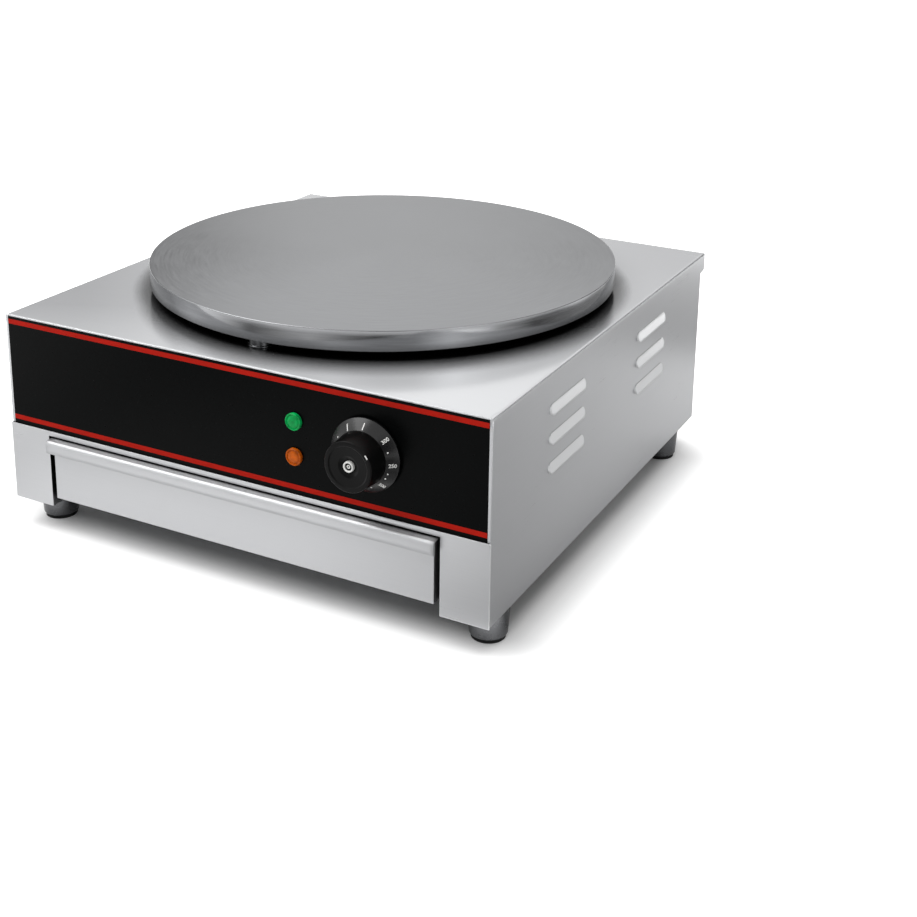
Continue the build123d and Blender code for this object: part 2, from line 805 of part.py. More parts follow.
def terminal_block():
    """Three-way ceramic block on the deck."""
    x0, x1 = block_x - block_width / 2, block_x + block_width / 2
    body = block(x0, x1, block_front, block_front + block_depth, deck_top, deck_top + block_height)
    for i in (-1, 1):
        wall_x = block_x + i * block_width / 6
        body -= block(wall_x - sheet / 2, wall_x + sheet / 2, block_front - sheet, block_front + block_depth + sheet,
                      deck_top + block_height * 0.7, deck_top + 2 * block_height)
    for x in block_screw_points():
        body -= upright(screw_radius + fit_gap, x, block_front + block_depth / 2, deck_top - sheet,
                        deck_top + 2 * block_height)
    return body


def terminal_block_screws():
    """Screws through the block into the deck."""
    top = deck_top + block_height
    y = block_front + block_depth / 2
    return Compound([upright(screw_radius, x, y, deck_under - 2 * sheet, top + fit_gap)
                     + upright(screw_head_radius * 0.8, x, y, top, top + screw_head_height)
                     for x in block_screw_points()])


def element_link_point(side):
    """Underside of a link strap, where its wire arrives from below."""
    x, y = leg_point(element_outer, side)
    return x, y, element_end_z - link_thickness


def wire_live():
    """Supply wire from the terminal block to the thermostat."""
    x0 = block_x - block_width / 3
    x1 = knob_x - thermostat_width / 4
    y1 = fascia_back + thermostat_depth / 2
    corner_y = thermostat_back + 15 * wire_radius
    return tube([(x0, block_front, low_wire_z), (x0, corner_y, low_wire_z), (x1, corner_y, low_wire_z),
                 (x1, y1, low_wire_z), (x1, y1, thermostat_under)],
                [12 * wire_radius, 12 * wire_radius, 5 * wire_radius], wire_radius)


def wire_switched():
    """Wire from the thermostat to the right-hand link strap."""
    x0 = knob_x + thermostat_width / 4
    y0 = fascia_back + thermostat_depth / 2
    x1, y1, z1 = element_link_point(1)
    rise_bend = (z1 - low_wire_z) / 3
    return tube([(x0, y0, thermostat_under), (x0, y0, low_wire_z), (x0, y1, low_wire_z), (x1, y1, low_wire_z),
                 (x1, y1, z1)],
                [5 * wire_radius, 12 * wire_radius, rise_bend], wire_radius)


def wire_neutral():
    """Wire from the terminal block to the left-hand link strap."""
    x1, y1, z1 = element_link_point(-1)
    rise_bend = (z1 - low_wire_z) / 3
    return tube([(block_x + block_width / 2, block_front + block_depth / 2, low_wire_z),
                 (x1, block_front + block_depth / 2, low_wire_z), (x1, y1, low_wire_z), (x1, y1, z1)],
                [6 * wire_radius, rise_bend], wire_radius)


def wire_earth():
    """Earth wire from the terminal block's back to the bonding stud."""
    start = block_front + block_depth
    finish = rear - sheet - bond_inside
    turn_y = (start + finish) / 2
    return tube([(block_x, start, low_wire_z), (block_x, turn_y, low_wire_z), (bond_x, turn_y, gland_z),
                 (bond_x, finish, gland_z)],
                [4 * wire_radius, 4 * wire_radius], wire_radius)


def lamp_leads():
    """Twin leads from the lamps: one to the terminal block, one to the thermostat."""
    start = front + barrel_length * 1.1
    power_z = lamp_levels["power"]
    down_y = start + 10 * wire_radius
    x1 = block_x - block_width / 8
    power = tube([(lamp_x, start, power_z), (lamp_x, down_y, power_z), (lamp_x, down_y, high_wire_z),
                  (x1, down_y, high_wire_z), (x1, block_front, high_wire_z)],
                 [4 * wire_radius, 5 * wire_radius, 12 * wire_radius], wire_radius)
    heating_z = lamp_levels["heating"]
    turn_y = start + 5 * wire_radius
    heating = tube([(lamp_x, start, heating_z), (lamp_x, turn_y, heating_z),
                    (knob_x - thermostat_width / 2, turn_y, heating_z)],
                   [3 * wire_radius], wire_radius)
    return Compound([power, heating])


# ---------------------------------------------------------------- rear fittings


def gland_hollow(far):
    """Cable passage through the gland, up to the given Y."""
    return lengthways(gland_bore, gland_x, gland_z, rear - 2 * gland_thread_in, far)


def cable_gland_body():
    """Threaded barrel with a hexagon outside the rear panel."""
    body = lengthways(gland_thread, gland_x, gland_z, rear - sheet - gland_thread_in,
                      rear + gland_hex + gland_thread_out)
    body += hex_lengthways(gland_size, gland_x, gland_z, rear, rear + gland_hex)
    return body - gland_hollow(rear + 2 * gland_reach)


def cable_gland_seal():
    """Rubber ring squeezed around the cable."""
    seat = rear + gland_hex + gland_thread_out
    return lengthways(gland_thread - fit_gap, gland_x, gland_z, seat, seat + gland_seal_length) \
        - gland_hollow(rear + 2 * gland_reach)


def cable_gland_nut():
    """Domed nut over the seal."""
    seat = rear + gland_hex
    mouth = rear + gland_reach
    side = gland_size / 2
    nut = turned_y([(0, seat), (side, seat), (side, mouth - gland_mouth - gland_seal_length / 2),
                    (gland_tip_radius, mouth), (0, mouth)], gland_x, gland_z)
    cavity = lengthways(gland_thread + fit_gap, gland_x, gland_z, seat - sheet, mouth - gland_mouth)
    return nut - cavity - gland_hollow(rear + 2 * gland_reach)


def cable_gland_locknut():
    """Thin nut inside the rear panel."""
    high = rear - sheet
    return hex_lengthways(gland_size, gland_x, gland_z, high - gland_locknut_height, high) \
        - lengthways(gland_thread + fit_gap, gland_x, gland_z, high - 2 * gland_locknut_height, high + sheet)


def bonding_stud():
    """Earth bonding stud through the rear panel, with a hexagon collar outside."""
    stud = lengthways(bond_radius, bond_x, gland_z, rear - sheet - bond_inside, rear + bond_outside)
    stud = chamfer(stud.edges().group_by(Axis.Y)[-1], bond_tip)
    return stud + hex_lengthways(bond_collar, bond_x, gland_z, rear, rear + bond_radius * nut_height)


def bonding_nut():
    """Nut inside the rear panel that holds the stud."""
    high = rear - sheet
    low = high - bond_radius * nut_height
    return hex_lengthways(bond_radius * nut_across, bond_x, gland_z, low, high) \
        - lengthways(bond_radius + fit_gap, bond_x, gland_z, low - sheet, high + sheet)


# ---------------------------------------------------------------- drip tray


def tray_front():
    """Drawer face with side returns and a folded pull along its top edge."""
    face_back = front
    face_front = front - sheet
    face = block(-drawer_half, drawer_half, face_front, face_back, drawer_under, drawer_top)
    side_return = block(drawer_half - sheet, drawer_half, face_back, face_back + drawer_return,
                        drawer_under, drawer_top)
    nose = face_front - handle_reach
    nose_top = drawer_top - handle_slope
    outside = side_profile([(face_back, drawer_top), (nose + handle_slope, drawer_top), (nose, nose_top),
                            (nose, nose_top - handle_height), (face_back, nose_top - handle_height)],
                           -drawer_half - handle_overhang, drawer_half + handle_overhang)
    pull_edges = outside.edges().filter_by(Axis.X).group_by(Axis.Y)[0].group_by(Axis.Z)[-1]
    outside = fillet(pull_edges, bend_radius)
    roof, floor = drawer_top - sheet, nose_top - 2 * handle_height
    grip_space = side_profile([(face_back + sheet, roof), (nose + sheet + handle_slope, roof),
                               (nose + sheet, nose_top - sheet), (nose + sheet, floor),
                               (face_back + sheet, floor)],
                              -half_width, half_width)
    pull = outside - grip_space
    pull -= block(-half_width, half_width, face_back - fit_gap, face_back + sheet,
                  drawer_under, drawer_top + sheet)
    return face + both_sides(side_return) + pull


def tray_pan():
    """Open box that catches drips and crumbs."""
    top = drawer_top - tray_wall_gap
    pan = block(-tray_half, tray_half, front, front + tray_depth, tray_under, top)
    upright_edges = pan.edges().filter_by(Axis.Z)
    pan = fillet(upright_edges, bend_radius)
    return pan - block(-tray_half + tray_sheet, tray_half - tray_sheet, front + tray_sheet,
                       front + tray_depth - tray_sheet, tray_under + tray_sheet, top + tray_sheet)


def tray_runner():
    """Right-hand runner: foot on the housing's flange, web beside the tray, ledge under it."""
    y0, y1 = front + runner_setback, rear - 2 * sheet
    base = foot_height + sheet
    ledge_top = tray_under - tray_rest_gap
    web = block(runner_web, runner_web + sheet, y0, y1, base, base + runner_web_height)
    ledge = block(runner_web - runner_ledge, runner_web, y0, y1, ledge_top - sheet, ledge_top)
    foot = block(runner_web + sheet, runner_web + sheet + runner_foot, y0, y1, base, base + sheet)
    return web + ledge + foot


# ---------------------------------------------------------------- feet


def foot(name):
    """Tapered metal foot with a bolt pocket from below."""
    x, y = foot_points[name]
    height = foot_height - pad_height
    cup = Pos(x, y, pad_height + height / 2) * Cone(foot_base_radius, foot_top_radius, height)
    cup = fillet(cup.edges().group_by(Axis.Z)[0], foot_edge)
    pocket = pad_height + height / 2
    cup -= upright(foot_bolt_size * 0.6, x, y, pad_height - sheet, pocket)
    return cup - upright(foot_bolt_radius + fit_gap, x, y, pocket - sheet, foot_height + sheet)


def foot_pads():
    """Rubber pads that meet the counter."""
    return Compound([upright(pad_radius, x, y, 0, pad_height) for x, y in foot_points.values()])


def foot_bolts():
    """Bolts up through the feet and the housing's flange, each with its nut."""
    bolts = []
    seat = pad_height + (foot_height - pad_height) / 2
    nut_low = foot_height + sheet
    nut_high = nut_low + foot_bolt_radius * nut_height
    for x, y in foot_points.values():
        bolt = upright(foot_bolt_radius, x, y, seat - fit_gap, nut_high + sheet)
        bolt += hex_upright(foot_bolt_size, x, y, seat - foot_bolt_head, seat)
        bolts.append(bolt + hex_upright(foot_bolt_size, x, y, nut_low, nut_high))
    return Compound(bolts)


nodes = {
    "housing_wrapper": housing_wrapper,
    "lower_front_frame": lower_front_frame,
    "front_fascia": front_fascia,
    "control_overlay": control_overlay,
    "inner_deck": inner_deck,
    "rear_panel": rear_panel,
    "rear_panel_screws": rear_panel_screws,
    "griddle_plate": griddle_plate,
    "plate_spacers": plate_spacers,
    "plate_studs": plate_studs,
    "plate_washers": plate_washers,
    "plate_nuts": plate_nuts,
    "heater_pan": heater_pan,
    "pan_screws": pan_screws,
    "insulation_blanket": insulation_blanket,
    "heating_element_outer": lambda: heating_element(element_outer),
    "heating_element_inner": lambda: heating_element(element_inner),
    "element_bushes": element_bushes,
    "element_links": element_links,
    "clamp_bars": clamp_bars,
    "clamp_studs": clamp_studs,
    "clamp_nuts": clamp_nuts,
    "thermostat_body": thermostat_body,
    "thermostat_screws": thermostat_screws,
    "thermostat_shaft": thermostat_shaft,
    "knob_dial": knob_dial,
    "knob_grip": knob_grip,
    "knob_insert": knob_insert,
    "sensing_bulb": sensing_bulb,
    "bulb_clips": bulb_clips,
    "capillary_tube": capillary_tube,
    "terminal_block": terminal_block,
    "terminal_block_screws": terminal_block_screws,
    "wire_live": wire_live,
    "wire_switched": wire_switched,
    "wire_neutral": wire_neutral,
    "wire_earth": wire_earth,
    "lamp_leads": lamp_leads,
    "cable_gland_body": cable_gland_body,
    "cable_gland_seal": cable_gland_seal,
    "cable_gland_nut": cable_gland_nut,
    "cable_gland_locknut": cable_gland_locknut,
    "bonding_stud": bonding_stud,
    "bonding_nut": bonding_nut,
    "tray_front": tray_front,
    "tray_pan": tray_pan,
    "tray_runner_right": tray_runner,
    "tray_runner_left": lambda: mirror(tray_runner(), Plane.YZ),
    "foot_pads": foot_pads,
    "foot_bolts": foot_bolts,
}
for lamp, level in lamp_levels.items():
    nodes[f"{lamp}_lamp_lens"] = lambda level=level: lamp_lens(level)
    nodes[f"{lamp}_lamp_body"] = lambda level=level: lamp_body(level)
    nodes[f"{lamp}_lamp_nut"] = lambda level=level: lamp_nut(level)
for corner in foot_points:
    nodes[f"foot_{corner}"] = lambda corner=corner: foot(corner)

os.makedirs("parts", exist_ok=True)
for name, make in nodes.items():
    export_step(make(), f"parts/{name}.step")
print(f"{len(nodes)} nodes; front face at y = {front:.2f}, overall depth {knob_reach + body_depth + gland_reach:.1f}")
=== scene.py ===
# Electric crepe maker: its looks, dressed around the fixed frame. Lengths are in metres.
import bmesh
import bpy
import json
import numpy as np
from mathutils import Matrix, Vector


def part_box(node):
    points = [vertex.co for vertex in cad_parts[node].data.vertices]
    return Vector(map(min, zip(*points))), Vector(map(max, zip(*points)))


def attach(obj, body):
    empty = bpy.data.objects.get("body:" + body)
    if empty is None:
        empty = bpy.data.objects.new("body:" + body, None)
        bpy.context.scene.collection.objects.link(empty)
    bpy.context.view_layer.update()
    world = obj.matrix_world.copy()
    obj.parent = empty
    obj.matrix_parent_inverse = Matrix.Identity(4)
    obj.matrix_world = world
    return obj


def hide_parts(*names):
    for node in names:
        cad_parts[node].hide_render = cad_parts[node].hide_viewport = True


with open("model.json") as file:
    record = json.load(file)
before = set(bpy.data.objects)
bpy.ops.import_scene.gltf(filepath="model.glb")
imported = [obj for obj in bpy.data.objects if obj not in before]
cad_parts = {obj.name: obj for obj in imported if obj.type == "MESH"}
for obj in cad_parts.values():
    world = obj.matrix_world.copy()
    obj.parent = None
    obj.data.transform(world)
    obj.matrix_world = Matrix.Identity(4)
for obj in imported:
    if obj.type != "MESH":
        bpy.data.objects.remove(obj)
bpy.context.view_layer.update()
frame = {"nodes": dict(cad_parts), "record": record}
nodes = frame["nodes"]
mm = 0.001
print("frame:", len(nodes), "nodes")


def colour(hexCode):
    # sRGB hex to linear: the curve of the sRGB standard, undone for each channel
    channel = np.array([int(hexCode[i:i + 2], 16) for i in (1, 3, 5)]) / 255
    linear = np.where(channel <= 0.04045, channel / 12.92, ((channel + 0.055) / 1.055) ** 2.4)
    return (*linear.tolist(), 1.0)


def addNode(tree, kind, inputs=None, stops=None, **settings):
    # one node with its settings; an input is a value, or a socket to link from
    node = tree.nodes.new("ShaderNode" + kind)
    for name, value in settings.items():
        setattr(node, name, value)
    for name, value in (inputs or {}).items():
        if isinstance(value, bpy.types.NodeSocket):
            tree.links.new(value, node.inputs[name])
        else:
            node.inputs[name].default_value = value
    if stops:
        ramp = node.color_ramp.elements
        ramp[0].position, ramp[1].position = stops[0][0], stops[-1][0]
        for place, shade in stops:
            ends = [element for element in ramp if abs(element.position - place) < 1e-6]
            element = ends[0] if ends else ramp.new(place)
            element.color = shade if isinstance(shade, tuple) else (shade, shade, shade, 1)
    return node


def addLevels(tree, place, stops):
    # brightness along a line of (place, level) stops
    # a ramp holds at most 1, so it carries shares of the peak, and the peak is multiplied back
    peak = max(level for where, level in stops)
    share = addNode(tree, "ValToRGB", {0: place}, [(where, level / peak) for where, level in stops]).outputs[0]
    return addNode(tree, "Math", {0: share, 1: peak}, operation="MULTIPLY").outputs[0]


def newMaterial(name):
    material = bpy.data.materials.new(name)
    material.use_nodes = True
    tree = material.node_tree
    shader = tree.nodes["Principled BSDF"]
    place = addNode(tree, "TexCoord").outputs["Object"]
    return material, tree, shader, place


def setShader(tree, shader, **values):
    # values by socket name, with spaces written as underscores
    for name, value in values.items():
        socket = shader.inputs[name.replace("_", " ")]
        if isinstance(value, bpy.types.NodeSocket):
            tree.links.new(value, socket)
        else:
            socket.default_value = value


satinSteel = {
    "tone": "#c7c8ca",
    "roughness": (0.27, 0.31),
    "upright": 0.7,             # sine of the slope past which a face counts as a side or an end
    "topBlend": (0.6, 0.95),    # slope over which the sides' grinding gives way to the top's finer one
    "topShare": 0.55,           # roughness of the top against the sides
    "metalBlend": (0.8, 0.95),
    "sideMetal": 0.75,
    "topMetal": (0.28, 0.58),   # less metal on the top, so that it scatters more light, least at its front right: a painted pool of light there
    "wornAndLit": (-0.2, -0.08),      # where y - x / 2 takes the top from its brightened front right to the rest
    "edge": 0.001,              # raw sheet edges are eased by this much
    "roll": (0.181, 0.003),     # height from which the bends are rounder, and by how much
    "rollBlend": 0.003,
    "flank": 0.2185,            # half width from which the outer sides begin
    "hood": (0.2192, 0.002),    # half width beyond which only louvres stand, and their rounding
    "rearHood": (0.2206, 0.165),    # louvres at the back: from this depth out, and below the lip
    # painted highlight: the louvres are given a lighter colour and less metal than the sheet
    "hoodHighlightTone": "#e6e7e8",
    "hoodHighlightMetal": 0.35,
    "paintedShadeReach": (0.034, 0.018),  # painted shade: how near other metal darkens the steel's colour, at the brightened front right and elsewhere
    "paintedShadeDepth": 4.0,
    "grainAcross": 2600.0,      # 1/m: lines about 0.4 mm apart, coarser than real so that they show
    "grainAlong": 26.0,
    "grainDepth": 0.000004,
    "grainStrength": 0.25,
    "cloud": 9.0,               # 1/m: faint patches about 110 mm wide
    "cloudShare": 0.45,
}


def makeSatinStainless(name, spec):
    # stainless sheet 1.4301, belt-ground: soft reflections, hair-fine lines along the sheet
    material, tree, shader, place = newMaterial(name)
    facing = addNode(tree, "NewGeometry").outputs["Normal"]
    facing = addNode(tree, "SeparateXYZ", {"Vector": facing}).outputs
    sideways = addNode(tree, "Math", {0: facing["X"]}, operation="ABSOLUTE").outputs[0]
    isSide = addNode(tree, "Math", {0: sideways, 1: spec["upright"]}, operation="GREATER_THAN").outputs[0]
    across, along = spec["grainAcross"], spec["grainAlong"]
    lines = []
    for stretch in ((along, across, across), (across, along, across)):
        moved = addNode(tree, "Mapping", {"Vector": place, "Scale": stretch}).outputs[0]
        lines.append(addNode(tree, "TexNoise", {"Vector": moved, "Scale": 1.0, "Detail": 3.0}).outputs[0])
    grain = addNode(tree, "Mix", {0: isSide, 2: lines[0], 3: lines[1]}).outputs[0]
    cloud = addNode(tree, "TexNoise", {"Vector": place, "Scale": spec["cloud"], "Detail": 2.0}).outputs[0]
    blend = addNode(tree, "Mix", {0: spec["cloudShare"], 2: grain, 3: cloud}).outputs[0]
    low, high = spec["roughness"]
    rough = addNode(tree, "MapRange", {0: blend, 1: 0.3, 2: 0.7, 3: low, 4: high}).outputs[0]
    # the top sheet is ground finer than the folded sides
    start, end = spec["topBlend"]
    finer = addNode(tree, "MapRange", {0: facing["Z"], 1: start, 2: end, 3: 1.0,
                                       4: spec["topShare"]}).outputs[0]
    rough = addNode(tree, "Math", {0: rough, 1: finer}, operation="MULTIPLY").outputs[0]
    tone = np.array(colour(spec["tone"]))
    shade = addNode(tree, "ValToRGB", {0: blend},
                    stops=((0.3, (*(tone[:3] * 0.95), 1.0)), (0.7, tuple(tone)))).outputs[0]
    # bends near the top and the louvres' edges are rounder than the cut edges
    parts = addNode(tree, "SeparateXYZ", {"Vector": place}).outputs
    outward = addNode(tree, "Math", {0: parts["X"]}, operation="ABSOLUTE").outputs[0]
    rollFrom, rollSize = spec["roll"]
    hoodFrom, hoodSize = spec["hood"]
    radius = addNode(tree, "MapRange", {0: parts["Z"], 1: rollFrom - spec["rollBlend"], 2: rollFrom,
                                        3: spec["edge"], 4: rollSize}).outputs[0]
    pressed = addNode(tree, "Math", {0: outward, 1: hoodFrom}, operation="GREATER_THAN").outputs[0]
    backFrom, backUnder = spec["rearHood"]
    atBack = addNode(tree, "Math", {0: parts["Y"], 1: backFrom}, operation="GREATER_THAN").outputs[0]
    under = addNode(tree, "Math", {0: parts["Z"], 1: backUnder}, operation="LESS_THAN").outputs[0]
    pressed = addNode(tree, "Math", {0: atBack, 1: under, 2: pressed}, operation="MULTIPLY_ADD").outputs[0]
    radius = addNode(tree, "Mix", {0: pressed, 2: radius, 3: hoodSize}).outputs[0]
    # painted highlight: the louvres' upward-sloping faces are given a lighter colour than the sheet
    shade = addNode(tree, "Mix", {"Factor": pressed, "A": shade, "B": colour(spec["hoodHighlightTone"])},
                    data_type="RGBA").outputs["Result"]
    # painted shade: slits and the space under the plate are darkened in colour by how near other metal is,
    # reaching further at the brightened front right; open outer faces stay clear
    wornAndLit = addNode(tree, "Math", {0: parts["X"], 1: -0.5, 2: parts["Y"]}, operation="MULTIPLY_ADD").outputs[0]
    wornAndLit = addNode(tree, "MapRange", {0: wornAndLit, 1: spec["wornAndLit"][0], 2: spec["wornAndLit"][1]}).outputs[0]
    shadeDistance = addNode(tree, "MapRange", {0: wornAndLit, 3: spec["paintedShadeReach"][0], 4: spec["paintedShadeReach"][1]}).outputs[0]
    clear = addNode(tree, "AmbientOcclusion", {"Distance": shadeDistance}, samples=8).outputs["AO"]
    clear = addNode(tree, "Math", {0: clear, 1: spec["paintedShadeDepth"]}, operation="POWER").outputs[0]
    flank = addNode(tree, "Math", {0: outward, 1: spec["flank"]}, operation="GREATER_THAN").outputs[0]
    clear = addNode(tree, "Math", {0: clear, 1: flank}, operation="MAXIMUM").outputs[0]
    endFace = addNode(tree, "Math", {0: facing["Y"]}, operation="ABSOLUTE").outputs[0]
    endFace = addNode(tree, "Math", {0: endFace, 1: spec["upright"]}, operation="GREATER_THAN").outputs[0]
    clear = addNode(tree, "Math", {0: clear, 1: endFace}, operation="MAXIMUM").outputs[0]
    # the colour is darkened by the painted shade
    shade = addNode(tree, "VectorMath", {0: shade, "Scale": clear}, operation="SCALE").outputs[0]
    # painted light: less metal at the top's front right, so that it shows brighter
    metal = addNode(tree, "MapRange", {0: wornAndLit, 3: spec["topMetal"][0], 4: spec["topMetal"][1]}).outputs[0]
    start, end = spec["metalBlend"]
    metal = addNode(tree, "MapRange", {0: facing["Z"], 1: start, 2: end, 3: spec["sideMetal"],
                                       4: metal}).outputs[0]
    metal = addNode(tree, "Mix", {0: pressed, 2: metal, 3: spec["hoodHighlightMetal"]}).outputs[0]
    eased = addNode(tree, "Bevel", {"Radius": radius}, samples=8).outputs[0]
    bump = addNode(tree, "Bump", {"Height": grain, "Strength": spec["grainStrength"],
                                  "Distance": spec["grainDepth"], "Normal": eased}).outputs[0]
    setShader(tree, shader, Base_Color=shade, Metallic=metal, Roughness=rough, Normal=bump)
    return material


quarterTurn = 0.25    # turns the drawn-out highlight across the marks

griddleIron = {
    "centre": (0.0, 12.0 * mm, 0.0),
    "tone": "#8b8c8e",
    "wornAndLit": "#999a9c",
    "roughness": (0.28, 0.39),
    "topBlend": (0.3, 0.9),     # upward slope over which the turned side becomes the faced top
    "sideRoughness": 0.38,      # the turned side against the faced top
    # painted shade: the side is given a darker colour than the top
    "sideShadeTone": 0.9,
    "castBlend": (-0.6, -0.9),  # downward slope over which the rough underside begins
    # the rough cast underside is dark, and darker still as painted shade, so that the gap under the plate shows
    # black
    "castAndShadeTone": 0.1,
    "castRoughness": 0.8,
    "rings": 700.0,             # 1/m: marks about 1.5 mm apart, coarser than real so that they show
    "arcs": 7.0,                # how many times a mark fades on its way round
    "ringDepth": 0.000012,
    "ringStrength": 0.3,
    "drawnOut": 0.35,           # how far the marks draw a highlight out across them
    "cloud": 9.0,
    "cloudShare": 0.4,
}


def makeMachinedIron(name, spec):
    # cast iron faced on a lathe: fine rings about the middle that draw the light out across them
    material, tree, shader, place = newMaterial(name)
    offset = addNode(tree, "VectorMath", {0: place, 1: spec["centre"]}, operation="SUBTRACT").outputs[0]
    flat = addNode(tree, "VectorMath", {0: offset, 1: (1, 1, 0)}, operation="MULTIPLY").outputs[0]
    reach = addNode(tree, "VectorMath", {0: flat}, operation="LENGTH").outputs["Value"]
    height = addNode(tree, "SeparateXYZ", {"Vector": place}).outputs["Z"]
    along = addNode(tree, "Math", {0: reach, 1: height}, operation="ADD").outputs[0]
    # each turning mark runs a little way round, then fades
    heading = addNode(tree, "VectorMath", {0: flat}, operation="NORMALIZE").outputs[0]
    heading = addNode(tree, "VectorMath", {0: heading, "Scale": spec["arcs"]}, operation="SCALE").outputs[0]
    step = addNode(tree, "Math", {0: along, 1: spec["rings"]}, operation="MULTIPLY").outputs[0]
    marks = addNode(tree, "VectorMath", {0: heading, 1: addNode(tree, "CombineXYZ", {"Z": step}).outputs[0]},
                    operation="ADD").outputs[0]
    rings = addNode(tree, "TexNoise", {"Vector": marks, "Scale": 1.0, "Detail": 3.0}).outputs[0]
    cloud = addNode(tree, "TexNoise", {"Vector": place, "Scale": spec["cloud"], "Detail": 6.0}).outputs[0]
    wear = addNode(tree, "Mix", {0: spec["cloudShare"], 2: rings, 3: cloud}).outputs[0]
    facing = addNode(tree, "NewGeometry").outputs["Normal"]
    facing = addNode(tree, "SeparateXYZ", {"Vector": facing}).outputs["Z"]
    start, end = spec["topBlend"]
    isTop = addNode(tree, "MapRange", {0: facing, 1: start, 2: end}).outputs[0]
    low, high = spec["roughness"]
    rough = addNode(tree, "MapRange", {0: wear, 1: 0.35, 2: 0.65, 3: low, 4: high}).outputs[0]
    smoother = addNode(tree, "MapRange", {0: isTop, 3: spec["sideRoughness"], 4: 1.0}).outputs[0]
    rough = addNode(tree, "Math", {0: rough, 1: smoother}, operation="MULTIPLY").outputs[0]
    shade = addNode(tree, "ValToRGB", {0: wear},
                    stops=((0.35, colour(spec["tone"])), (0.65, colour(spec["wornAndLit"])))).outputs[0]
    start, end = spec["castBlend"]
    isCast = addNode(tree, "MapRange", {0: facing, 1: start, 2: end}).outputs[0]
    rough = addNode(tree, "Mix", {0: isCast, 2: rough, 3: spec["castRoughness"]}).outputs[0]
    # painted shade: the side darker than the top
    darker = addNode(tree, "MapRange", {0: isTop, 3: spec["sideShadeTone"], 4: 1.0}).outputs[0]
    # the underside darker still: rough cast skin, and painted shade
    darker = addNode(tree, "Mix", {0: isCast, 2: darker, 3: spec["castAndShadeTone"]}).outputs[0]
    shade = addNode(tree, "VectorMath", {0: shade, "Scale": darker}, operation="SCALE").outputs[0]
    bump = addNode(tree, "Bump", {"Height": rings, "Strength": spec["ringStrength"],
                                  "Distance": spec["ringDepth"]}).outputs[0]
    around = addNode(tree, "Tangent", direction_type="RADIAL", axis="Z").outputs[0]
    setShader(tree, shader, Base_Color=shade, Metallic=1.0, Roughness=rough, Anisotropic=spec["drawnOut"],
              Anisotropic_Rotation=quarterTurn, Normal=bump, Tangent=around)
    return material


def makeSmooth(name, tone, roughness, metallic=0.0, grit=400.0, depth=0.00002, spread=0.12, specular=0.5,
               coat=0.0, turned=0.0):
    # moulded, drawn or plated finish: one colour with a faint mottle and a fine uneven skin
    material, tree, shader, place = newMaterial(name)
    skin = addNode(tree, "TexNoise", {"Vector": place, "Scale": grit, "Detail": 3.0}).outputs[0]
    cloud = addNode(tree, "TexNoise", {"Vector": place, "Scale": grit / 12, "Detail": 2.0}).outputs[0]
    base = np.array(colour(tone))
    shade = addNode(tree, "ValToRGB", {0: cloud},
                    stops=((0.3, (*(base[:3] * (1 - spread)), 1.0)), (0.7, tuple(base)))).outputs[0]
    rough = addNode(tree, "MapRange", {0: skin, 1: 0.3, 2: 0.7, 3: roughness * 0.9,
                                       4: roughness * 1.1}).outputs[0]
    bump = addNode(tree, "Bump", {"Height": skin, "Strength": 0.3, "Distance": depth}).outputs[0]
    setShader(tree, shader, Base_Color=shade, Metallic=metallic, Roughness=rough, Normal=bump,
              Specular_IOR_Level=specular, Coat_Weight=coat)
    if turned:
        # polishing marks run round the piece and draw its highlights out along the axis
        around = addNode(tree, "Tangent", direction_type="RADIAL", axis="Z").outputs[0]
        setShader(tree, shader, Anisotropic=turned, Anisotropic_Rotation=quarterTurn, Tangent=around)
    return material


